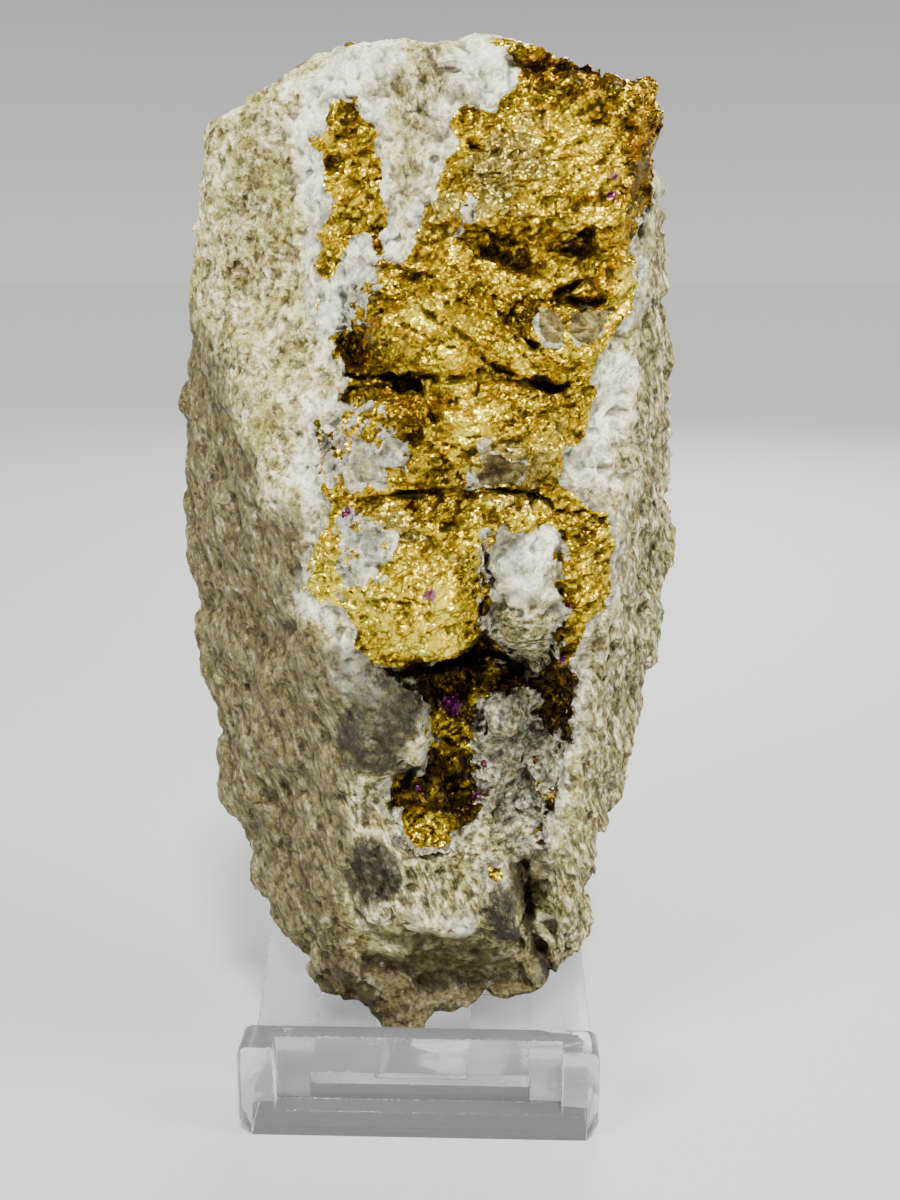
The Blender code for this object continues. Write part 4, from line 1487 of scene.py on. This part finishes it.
class Bench:
    """Adds nodes to one material and links them."""

    def __init__(self, name: str) -> None:
        """Make an empty material with an output."""
        self.material = bpy.data.materials.new(name)
        self.material.use_nodes = True
        self.tree = self.material.node_tree
        self.tree.nodes.clear()
        self.output = self.add("ShaderNodeOutputMaterial")

    def add(self, kind: str, settings: dict[str, object] | None = None,
            inputs: dict[str | int, object] | None = None) -> bpy.types.Node:
        """Add one node.

        Args:
            kind: The node's type.
            settings: Its properties, set first; "stops" fills a colour ramp.
            inputs: A number, colour, Wire or socket for each input by name or place.

        Returns:
            The new node.
        """
        node = self.tree.nodes.new(kind)
        for name, value in (settings or {}).items():
            if name == "stops":
                self.fill_ramp(node.color_ramp, value)
            else:
                setattr(node, name, value)
        for name, value in (inputs or {}).items():
            value = value.socket if isinstance(value, Wire) else value
            if isinstance(value, Socket):
                self.tree.links.new(value, node.inputs[name])
            elif isinstance(value, tuple) and node.inputs[name].type == "RGBA":
                node.inputs[name].default_value = (*value, 1.0)
            else:
                node.inputs[name].default_value = value
        return node

    @staticmethod
    def fill_ramp(ramp: bpy.types.ColorRamp, stops: list[tuple[float, Colour]]) -> None:
        """Give a colour ramp its stops."""
        while len(ramp.elements) < len(stops):
            ramp.elements.new(0.5)
        for element, (place, colour) in zip(ramp.elements, stops):
            element.position = place
            element.color = (*colour, 1.0)

    def vector_maths(self, operation: str, inputs: dict[str | int, object]) -> Socket:
        """Add a Vector Math node and return the vector it gives."""
        return self.add("ShaderNodeVectorMath", {"operation": operation}, inputs).outputs[0]

    def millimetres(self) -> Socket:
        """Return the place on the piece in millimetres."""
        place = self.add("ShaderNodeTexCoord").outputs["Object"]
        return self.vector_maths("SCALE", {0: place, "Scale": 1 / MM})

    def stretched(self, place: Socket, stretch: Place, degrees: float = 0.0) -> Socket:
        """Turn a place about Y and squeeze it, so that a pattern on it runs long.

        Args:
            place: The place to change.
            stretch: How many times longer the pattern gets along each axis.
            degrees: How far it is turned.

        Returns:
            The changed place.
        """
        inputs = {"Vector": place, "Angle": math.radians(degrees)}
        aslant = self.add("ShaderNodeVectorRotate", {"rotation_type": "Y_AXIS"}, inputs).outputs[0]
        return self.vector_maths("DIVIDE", {0: aslant, 1: stretch})

    def attribute(self, name: str) -> Wire:
        """Return one of the piece's own attributes."""
        return Wire(self, self.add("ShaderNodeAttribute", {"attribute_name": name}).outputs["Fac"])

    def noise(self, place: Socket, size: float, detail: float = 2.0, roughness: float = 0.5) -> Wire:
        """Add noise.

        Args:
            place: Where it is read, in millimetres.
            size: The size of its largest features in millimetres.
            detail: How many finer levels are added.
            roughness: How strong the finer levels are.

        Returns:
            Numbers from 0 to 1.
        """
        inputs = {"Vector": place, "Scale": 1 / size, "Detail": detail, "Roughness": roughness}
        return Wire(self, self.add("ShaderNodeTexNoise", None, inputs).outputs["Fac"])

    def cells(self, place: Socket, size: float) -> bpy.types.Node:
        """Return a Voronoi node whose cells have the given size in millimetres."""
        return self.add("ShaderNodeTexVoronoi", None, {"Vector": place, "Scale": 1 / size})

    def cell_value(self, cells: bpy.types.Node) -> Wire:
        """Return one number from 0 to 1 for each cell."""
        channels = self.add("ShaderNodeSeparateColor", None, {0: cells.outputs["Color"]})
        return Wire(self, channels.outputs[0])

    def seams(self, place: Socket, size: float, width: float) -> Wire:
        """Add a net of seams.

        Args:
            place: Where it is read, in millimetres.
            size: The size of its cells in millimetres.
            width: How far the seams reach into a cell, in cells.

        Returns:
            Numbers that are 1 on a seam and 0 inside a cell.
        """
        inputs = {"Vector": place, "Scale": 1 / size}
        cells = self.add("ShaderNodeTexVoronoi", {"feature": "DISTANCE_TO_EDGE"}, inputs)
        return 1 - Wire(self, cells.outputs["Distance"]).between(0.0, width)

    def warped(self, place: Socket, reach: float, size: float) -> Socket:
        """Push a place about by noise, so that a pattern on it bends.

        Args:
            place: The place to change.
            reach: How far it is pushed, in millimetres.
            size: The size of the noise in millimetres.

        Returns:
            The pushed place.
        """
        noise = self.add("ShaderNodeTexNoise", None, {"Vector": place, "Scale": 1 / size})
        inputs = {0: noise.outputs["Color"], 1: (reach, reach, reach), 2: place}
        return self.vector_maths("MULTIPLY_ADD", inputs)

    def facets(self, place: Socket, size: float) -> Wire:
        """Add small flat tilted facets.

        Args:
            place: Where they are read, in millimetres.
            size: Their size in millimetres.

        Returns:
            Their height in millimetres, up to about half their size.
        """
        cells = self.cells(place, size)
        away = self.vector_maths("SUBTRACT", {0: place, 1: cells.outputs["Position"]})
        tilt = self.vector_maths("SUBTRACT", {0: cells.outputs["Color"], 1: (0.5, 0.5, 0.5)})
        height = self.add("ShaderNodeVectorMath", {"operation": "DOT_PRODUCT"}, {0: away, 1: tilt})
        return Wire(self, height.outputs["Value"])

    def ramp(self, value: Wire, stops: list[tuple[float, Colour]]) -> Socket:
        """Return a colour picked from stops by a number."""
        return self.add("ShaderNodeValToRGB", {"stops": stops}, {"Fac": value}).outputs["Color"]

    def mix(self, share: Wire | float, first: object, second: object) -> Socket:
        """Blend two colours.

        Args:
            share: How much of the second colour shows, from 0 to 1.
            first: The first colour, a socket or three numbers.
            second: The second colour, a socket or three numbers.

        Returns:
            The blend.
        """
        node = self.add("ShaderNodeMix", {"data_type": "RGBA"}, {0: share, 6: first, 7: second})
        return node.outputs[2]

    def bump(self, height: Wire, strength: float) -> Socket:
        """Bend the normals by a height.

        Args:
            height: The height in millimetres.
            strength: How much of it shows, from 0 to 1.

        Returns:
            The bent normals.
        """
        inputs = {"Height": height, "Strength": strength, "Distance": MM}
        return self.add("ShaderNodeBump", None, inputs).outputs["Normal"]

    def principled(self, inputs: dict[str, object]) -> bpy.types.Node:
        """Add the Principled shader and link it to the output."""
        shader = self.add("ShaderNodeBsdfPrincipled", None, inputs)
        self.tree.links.new(shader.outputs["BSDF"], self.output.inputs["Surface"])
        return shader


@dataclass(frozen=True)
class OreAndMatrix:
    """Brassy chalcopyrite and sugary quartz, told apart by the stone's attributes."""

    brass_stops: tuple[tuple[float, Colour], ...] = (
        (0.20, (0.070, 0.043, 0.004)), (0.36, (0.23, 0.148, 0.006)), (0.52, (0.56, 0.385, 0.012)),
        (0.70, (0.96, 0.69, 0.020)), (0.92, (1.0, 0.83, 0.075)),
    )
    orange: Colour = (0.42, 0.205, 0.004)
    dull_brass: Colour = (0.46, 0.38, 0.115)
    # Brown of the painted shade on the ore.
    shade_brown: Colour = (0.032, 0.017, 0.006)
    violet: Colour = (0.20, 0.02, 0.19)
    grain_stops: tuple[tuple[float, Colour], ...] = (
        (0.12, (0.050, 0.038, 0.013)), (0.30, (0.19, 0.155, 0.050)), (0.52, (0.50, 0.445, 0.185)),
        (0.80, (0.98, 0.95, 0.62)),
    )
    olive: Colour = (0.46, 0.43, 0.075)
    milky: Colour = (0.99, 0.97, 0.79)
    tan: Colour = (0.175, 0.143, 0.050)
    sage: Colour = (0.37, 0.325, 0.090)
    slate: Colour = (0.20, 0.215, 0.195)
    # Near-black greys of the quartz in painted shade.
    grey_in_shade_stops: tuple[tuple[float, Colour], ...] = (
        (0.42, (0.010, 0.008, 0.005)), (0.58, (0.018, 0.016, 0.011)), (0.76, (0.085, 0.085, 0.068)),
    )
    # Dark brown of the streaks and pits, also used as painted shade in the cavity, the hollows and the
    # cracks.
    soil_and_shade: Colour = (0.024, 0.016, 0.007)
    stain_and_shade: Colour = (0.042, 0.028, 0.010)
    smoke_stops: tuple[tuple[float, Colour], ...] = (
        (0.38, (0.035, 0.023, 0.005)), (0.53, (0.14, 0.105, 0.028)), (0.70, (0.46, 0.39, 0.14)),
    )
    ior: float = 1.54
    shine: float = 0.22

    def build(self) -> bpy.types.Material:
        """Make the material.

        Returns:
            The material.
        """
        bench = Bench("chalcopyrite_in_quartz")
        place = bench.millimetres()
        ragged = bench.noise(place, 0.55, 3.0) - 0.5
        flecked = bench.attribute("mixed") * bench.noise(place, 1.7, 4.0, 0.62).between(0.47, 0.57)
        ore = (bench.attribute("ore") + 0.7 * ragged - 3.4 * flecked).between(-0.06, 0.06)
        smoky = (bench.attribute("smoky") + 0.5 * ragged).between(-0.05, 0.05)
        ore_colour = self.ore_colour(bench, place)
        matrix_colour = self.matrix_colour(bench, place)
        smoke = bench.ramp(bench.noise(place, 1.4, 4.0, 0.65), list(self.smoke_stops))
        matrix_colour = bench.mix(smoky, matrix_colour, smoke)
        chips = 0.8 * bench.facets(place, 0.7) + 0.6 * bench.facets(place, 0.33)
        grains = 0.9 * bench.facets(place, 0.9) + 0.7 * bench.facets(place, 0.4)
        grains = grains + 0.1 * bench.noise(place, 0.3, 2.0)
        gloss = bench.noise(place, 1.2, 3.0)
        ore_roughness = 0.22 + 0.20 * gloss + 0.25 * bench.attribute("hollow").between(0.0, 1.0)
        shiny = bench.cell_value(bench.cells(place, 0.7)).between(0.75, 0.9)
        quartz_roughness = 0.68 - 0.25 * gloss - 0.3 * shiny
        bench.principled({
            "Base Color": bench.mix(ore, matrix_colour, ore_colour),
            "Metallic": ore,
            "Roughness": ore * ore_roughness + (1 - ore) * quartz_roughness,
            "Normal": bench.bump(ore * chips + (1 - ore) * grains, 1.0),
            "IOR": self.ior,
            "Specular IOR Level": self.shine,
        })
        return bench.material

    def ore_colour(self, bench: Bench, place: Socket) -> Socket:
        """Paint the ore: brass, orange tarnish, painted highlights and glints, brown painted shade in
        hollows, cracks and the cavity, and purple film.

        Args:
            bench: The material's bench.
            place: The place on the piece in millimetres.

        Returns:
            The colour.
        """
        aslant = bench.stretched(place, (2.6, 1.0, 0.8), RIDGE_SLOPE)
        broad = bench.noise(place, 5.0, 3.0, 0.6).between(0.28, 0.72)
        fleck = bench.noise(aslant, 0.8, 3.0, 0.65).between(0.26, 0.74)
        tarnish_and_shade = bench.attribute("tarnish_and_shade")
        cavity = bench.attribute("cavity")
        painted_highlight = bench.attribute("painted_highlight")
        glint = bench.attribute("glint")
        # Painted light in the tone: the highlight zone and the glints lighten the ore as painted
        # highlights, and the cavity and the tarnish zone darken it, partly as painted shade.
        tone = 0.18 + 0.28 * broad + 0.44 * fleck + 0.28 * painted_highlight
        tone = tone - 0.18 * tarnish_and_shade - 0.20 * cavity + 0.62 * glint * fleck
        colour = bench.ramp(tone, list(self.brass_stops))
        dull = bench.noise(place, 7.0, 2.0).between(0.46, 0.60) * bench.attribute("dull")
        colour = bench.mix(0.75 * dull, colour, self.dull_brass)
        # Orange tarnish; in the tarnish zone it is partly painted shade.
        rusty = (bench.noise(aslant, 2.4, 4.0, 0.6) + 0.17 * tarnish_and_shade).between(0.60, 0.76)
        colour = bench.mix(0.8 * rusty, colour, self.orange)
        # Painted shade: the ore is darkened to brown in hollows, deep recesses, the cavity, the cracks and
        # the fine seams.
        hollow = bench.attribute("hollow").between(0.1, 1.1) * 0.75
        deep = bench.attribute("deep").between(0.1, 1.3)
        shadow = cavity * (1 - 0.9 * glint) * bench.noise(place, 2.2, 3.0).between(0.22, 0.56)
        dark = hollow.at_least(deep * 0.7).at_least(shadow)
        dark = dark.at_least(bench.attribute("crack").between(0.15, 0.6))
        gap = bench.seams(bench.warped(aslant, 0.5, 1.6), 1.5, 0.09)
        gap = gap * bench.noise(place, 3.0).between(0.38, 0.55)
        fine_gap = bench.seams(bench.warped(place, 0.3, 0.8), 0.8, 0.10)
        fine_gap = fine_gap * bench.noise(place, 2.2).between(0.44, 0.60)
        dark = dark.at_least(0.8 * gap).at_least(0.6 * fine_gap)
        colour = bench.mix(dark, colour, self.shade_brown)
        dots = bench.noise(place, 1.6, 1.0).between(0.66, 0.74)
        film = bench.attribute("iris").at_least(cavity * dots * 0.5)
        return bench.mix(film * 0.85, colour, self.violet)

    def matrix_colour(self, bench: Bench, place: Socket) -> Socket:
        """Paint the quartz: white, olive and grey grains, and darker faces: brown stain, and painted shade
        on the underside, under the overhang, in the cavity, in hollows and in cracks.

        Args:
            bench: The material's bench.
            place: The place on the piece in millimetres.

        Returns:
            The colour.
        """
        grain = bench.cell_value(bench.cells(bench.warped(place, 0.4, 0.5), 0.85))
        broad = bench.noise(place, 4.5, 3.0, 0.55).between(0.30, 0.70)
        speck = bench.noise(place, 0.7, 4.0, 0.7).between(0.32, 0.68)
        ore = bench.attribute("ore")
        milky = (bench.attribute("milky") * (0.6 + 0.4 * broad)).at_least(ore.between(-1.7, -0.4) * 0.4)
        tone = 0.36 * grain + 0.36 * broad + 0.40 * speck + 0.32 * milky - 0.05
        colour = bench.ramp(tone, list(self.grain_stops))
        olive = bench.noise(place, 3.2, 3.0, 0.6).between(0.46, 0.60) * (0.3 + 0.7 * grain)
        colour = bench.mix(0.6 * olive * (1 - milky), colour, self.olive)
        colour = bench.mix(0.75 * milky * (0.5 + 0.5 * speck), colour, self.milky)
        steep = bench.noise(bench.stretched(place, (0.75, 1.0, 2.6), STREAK_SLOPE), 0.8, 4.0, 0.66)
        tan = bench.mix(steep.between(0.34, 0.56), self.soil_and_shade, self.tan)
        tan = bench.mix(0.42 * steep.between(0.54, 0.70) * (0.3 + 0.7 * speck), tan, self.milky)
        tan = bench.mix(0.45 * (1 - broad), tan, self.soil_and_shade)
        colour = bench.mix(0.92 * bench.attribute("tan"), colour, tan)
        sage = bench.mix(steep.between(0.38, 0.60), self.soil_and_shade, self.sage)
        sage = bench.mix(0.85 * steep.between(0.50, 0.66) * (0.4 + 0.6 * broad), sage, self.milky)
        # The sage of the green faces, which also paints the lower centre darker as painted shade.
        colour = bench.mix(0.85 * bench.attribute("green_and_shade") * (1 - 0.6 * milky), colour, sage)
        pits = bench.noise(place, 0.6, 3.0, 0.6).between(0.56, 0.66)
        pits = pits * (1.0 - 0.5 * broad) * (1 - 0.6 * milky)
        colour = bench.mix(0.75 * pits, colour, self.soil_and_shade)
        veined = bench.noise(place, 1.5, 3.0, 0.6).between(0.38, 0.60)
        rim = ore.between(-1.1, -0.2) * veined
        slate = (bench.attribute("mixed") * (0.35 + 0.65 * veined)).at_least(rim)
        colour = bench.mix(0.75 * slate, colour, self.slate)
        shaded = bench.noise(place, 2.0, 4.0, 0.62)
        # Painted shade: the grey quartz under the overhang and at the foot is painted nearly black.
        grey_and_shade = (bench.attribute("grey_and_shade") + 1.1 * (shaded - 0.5)).between(0.20, 0.85)
        grey_and_shade = grey_and_shade * (0.80 + 0.20 * speck)
        grey_in_shade = bench.ramp(0.55 * shaded + 0.45 * bench.noise(place, 0.8, 3.0, 0.6), list(self.grey_in_shade_stops))
        colour = bench.mix(0.98 * grey_and_shade * (1 - 0.5 * bench.attribute("mixed")), colour, grey_in_shade)
        # Brown stain and painted shade on the underside and at the foot.
        colour = bench.mix(0.85 * bench.attribute("stained_and_shaded"), colour, self.stain_and_shade)
        # Painted shade in the cavity under the overhang.
        colour = bench.mix(0.85 * bench.attribute("cavity") * (1 - speck), colour, self.soil_and_shade)
        # Painted shade: the quartz is darkened in hollows, deep recesses and cracks.
        painted_shade = bench.attribute("hollow").between(0.0, 1.5) * (0.45 + 0.4 * broad)
        painted_shade = painted_shade.at_least(bench.attribute("deep").between(0.2, 1.2) * 0.6)
        painted_shade = painted_shade.at_least(bench.attribute("crack").between(0.3, 0.9) * 0.85)
        return bench.mix(painted_shade, colour, self.soil_and_shade)


@dataclass(frozen=True)
class ClearPlastic:
    """Clear moulded plastic with fine scuffs, and pale edges that are partly wear and partly painted
    highlight.
    """

    tint: Colour = (0.93, 0.95, 0.96)
    scuff_and_highlight: Colour = (0.99, 0.99, 0.98)
    ior: float = 1.49

    def build(self) -> bpy.types.Material:
        """Make the material.

        Returns:
            The material.
        """
        bench = Bench("clear_plastic")
        place = bench.millimetres()
        haze = bench.noise(place, 6.0, 4.0)
        scratch = bench.noise(bench.stretched(place, (14.0, 1.0, 0.5), 8), 0.7, 2.0).between(0.64, 0.72)
        nick = bench.noise(place, 0.7, 3.0, 0.65).between(0.50, 0.66)
        # Painted highlight: the rounded edges are painted pale, partly as wear and partly as the light
        # they catch.
        edge = bench.attribute("edge") * nick
        dust = bench.noise(place, 0.5, 2.0).between(0.70, 0.76) * haze.between(0.40, 0.60)
        wear_and_highlight = edge.at_least(0.45 * dust)
        bench.principled({
            "Base Color": bench.mix(wear_and_highlight, self.tint, self.scuff_and_highlight),
            "Transmission Weight": 0.9,
            "IOR": self.ior,
            "Roughness": 0.05 + 0.16 * haze.between(0.4, 0.75) + 0.16 * scratch + 0.45 * wear_and_highlight,
            "Normal": bench.bump(0.05 * haze + 0.012 * scratch + 0.06 * wear_and_highlight, 0.5),
        })
        return bench.material


# The easel

@dataclass
class Easel:
    """The clear one-piece easel, with the soft edges of a moulding.

    Faces that meet at less than `flat_below` are one face, edges sharper than `round_above` are
    rounded and those under `smooth_below` are shaded smooth.
    """

    edge_round: float = 0.35 * MM
    edge_steps: int = 3
    flat_below: float = math.radians(1)
    round_above: float = math.radians(30)
    smooth_below: float = math.radians(35)

    def build(self) -> bpy.types.Object:
        """Build the easel.

        Returns:
            The finished piece.
        """
        piece = copy_of_node("display_easel", "clear_easel")
        apply_modifier(piece, "DECIMATE", decimate_type="DISSOLVE", angle_limit=self.flat_below)
        apply_modifier(
            piece, "BEVEL", width=self.edge_round, segments=self.edge_steps, limit_method="ANGLE",
            angle_limit=self.round_above, use_clamp_overlap=True,
        )
        self.mark_edges(piece.data)
        select_only(piece)
        bpy.ops.object.shade_smooth_by_angle(angle=self.smooth_below)
        return piece

    def mark_edges(self, mesh: bpy.types.Mesh) -> None:
        """Store 1 on the narrow rounded faces along the edges, which wear first and get a painted
        highlight, and 0 elsewhere.

        Args:
            mesh: The easel's mesh.
        """
        narrow = []
        for face in mesh.polygons:
            corners = [mesh.vertices[vertex].co for vertex in face.vertices]
            around = sum((end - start).length for start, end in zip(corners, corners[1:] + corners[:1]))
            narrow.append(float(2 * face.area < 0.8 * self.edge_round * around))
        attribute = mesh.attributes.new("edge", "FLOAT", "FACE")
        attribute.data.foreach_set("value", narrow)


# The studio

@dataclass(frozen=True)
class Lamp:
    """A round soft lamp; its place and size in metres, its power in watts."""

    place: Place
    size: float
    power: float


@dataclass
class Studio:
    """A pale floor and soft lights around the specimen; sizes in metres."""

    floor_size: float = 8.0
    floor_colour: Colour = (0.50, 0.50, 0.49)
    sky_stops: tuple[tuple[float, Colour], ...] = (
        (0.0, (0.78, 0.77, 0.74)), (0.20, (0.48, 0.48, 0.47)), (0.65, (0.13, 0.13, 0.13)),
    )
    sky_strength: float = 1.0
    sun_from: Place = (0.10, -0.50, 0.86)
    sun_power: float = 5.0
    sun_angle: float = math.radians(9)
    lamps: dict[str, Lamp] = field(default_factory=lambda: {
        "front_left": Lamp((-0.30, -0.34, 0.36), 0.22, 3.2),
        "right": Lamp((0.42, -0.10, 0.34), 0.20, 2.6),
        "back": Lamp((0.10, 0.50, 0.35), 0.30, 2.8),
    })
    aim: Place = (0.0, 0.0, 0.07)

    def build_floor(self) -> bpy.types.Object:
        """Add the floor.

        Returns:
            The floor.
        """
        bpy.ops.object.select_all(action="DESELECT")
        bpy.ops.mesh.primitive_grid_add(
            x_subdivisions=8, y_subdivisions=8, size=self.floor_size, location=(0, 0, 0)
        )
        floor = bpy.context.active_object
        floor.name = "studio_floor"
        bench = Bench("pale_floor")
        grain = bench.noise(bench.millimetres(), 40.0, 3.0)
        bench.principled({
            "Base Color": bench.mix(0.15 * grain, self.floor_colour, (0.5, 0.5, 0.5)),
            "Roughness": 0.55 + 0.1 * grain,
        })
        floor.data.materials.append(bench.material)
        return floor

    def build_lights(self) -> None:
        """Add the overhead light, the soft lamps and the pale surroundings."""
        sun = bpy.data.lights.new("overhead_light", "SUN")
        sun.energy = self.sun_power
        sun.angle = self.sun_angle
        self.place_light(sun, self.sun_from, (0.0, 0.0, 0.0))
        for name, lamp in self.lamps.items():
            light = bpy.data.lights.new(f"{name}_light", "AREA")
            light.shape = "DISK"
            light.size = lamp.size
            light.energy = lamp.power
            self.place_light(light, lamp.place, self.aim)
        self.build_world()

    @staticmethod
    def place_light(light: bpy.types.Light, place: Place, aim: Place) -> None:
        """Put a light in the scene, turned towards a point.

        Args:
            light: The light.
            place: Where it stands, in metres.
            aim: The point it shines at, in metres.
        """
        lamp = bpy.data.objects.new(light.name, light)
        lamp.location = place
        lamp.rotation_euler = (Vector(aim) - Vector(place)).to_track_quat("-Z", "Y").to_euler()
        bpy.context.scene.collection.objects.link(lamp)

    def build_world(self) -> None:
        """Make the surroundings: pale at the horizon, darker overhead."""
        world = bpy.data.worlds.new("studio")
        world.use_nodes = True
        tree = world.node_tree
        direction = tree.nodes.new("ShaderNodeTexCoord")
        height = tree.nodes.new("ShaderNodeSeparateXYZ")
        ramp = tree.nodes.new("ShaderNodeValToRGB")
        Bench.fill_ramp(ramp.color_ramp, list(self.sky_stops))
        tree.links.new(direction.outputs["Generated"], height.inputs[0])
        tree.links.new(height.outputs["Z"], ramp.inputs["Fac"])
        tree.links.new(ramp.outputs["Color"], tree.nodes["Background"].inputs["Color"])
        tree.nodes["Background"].inputs["Strength"].default_value = self.sky_strength
        bpy.context.scene.world = world


def main() -> None:
    """Build the specimen, its easel and the studio."""
    logging.basicConfig(level=logging.INFO, format="%(message)s")
    view = Viewpoint()
    pieces = (
        (Stone(MineralMap(view)), OreAndMatrix(), "specimen", "ore_and_matrix"),
        (Easel(), ClearPlastic(), "display_easel", "clear_plastic"),
    )
    for form, finish, node, slot in pieces:
        piece = form.build()
        piece.data.materials.append(finish.build())
        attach(piece, "root")
        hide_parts(node)
        log.info("%s: %d faces", piece.name, len(piece.data.polygons))
    studio = Studio()
    studio.build_floor()
    studio.build_lights()
    view.build()


if __name__ == "__main__":
    main()
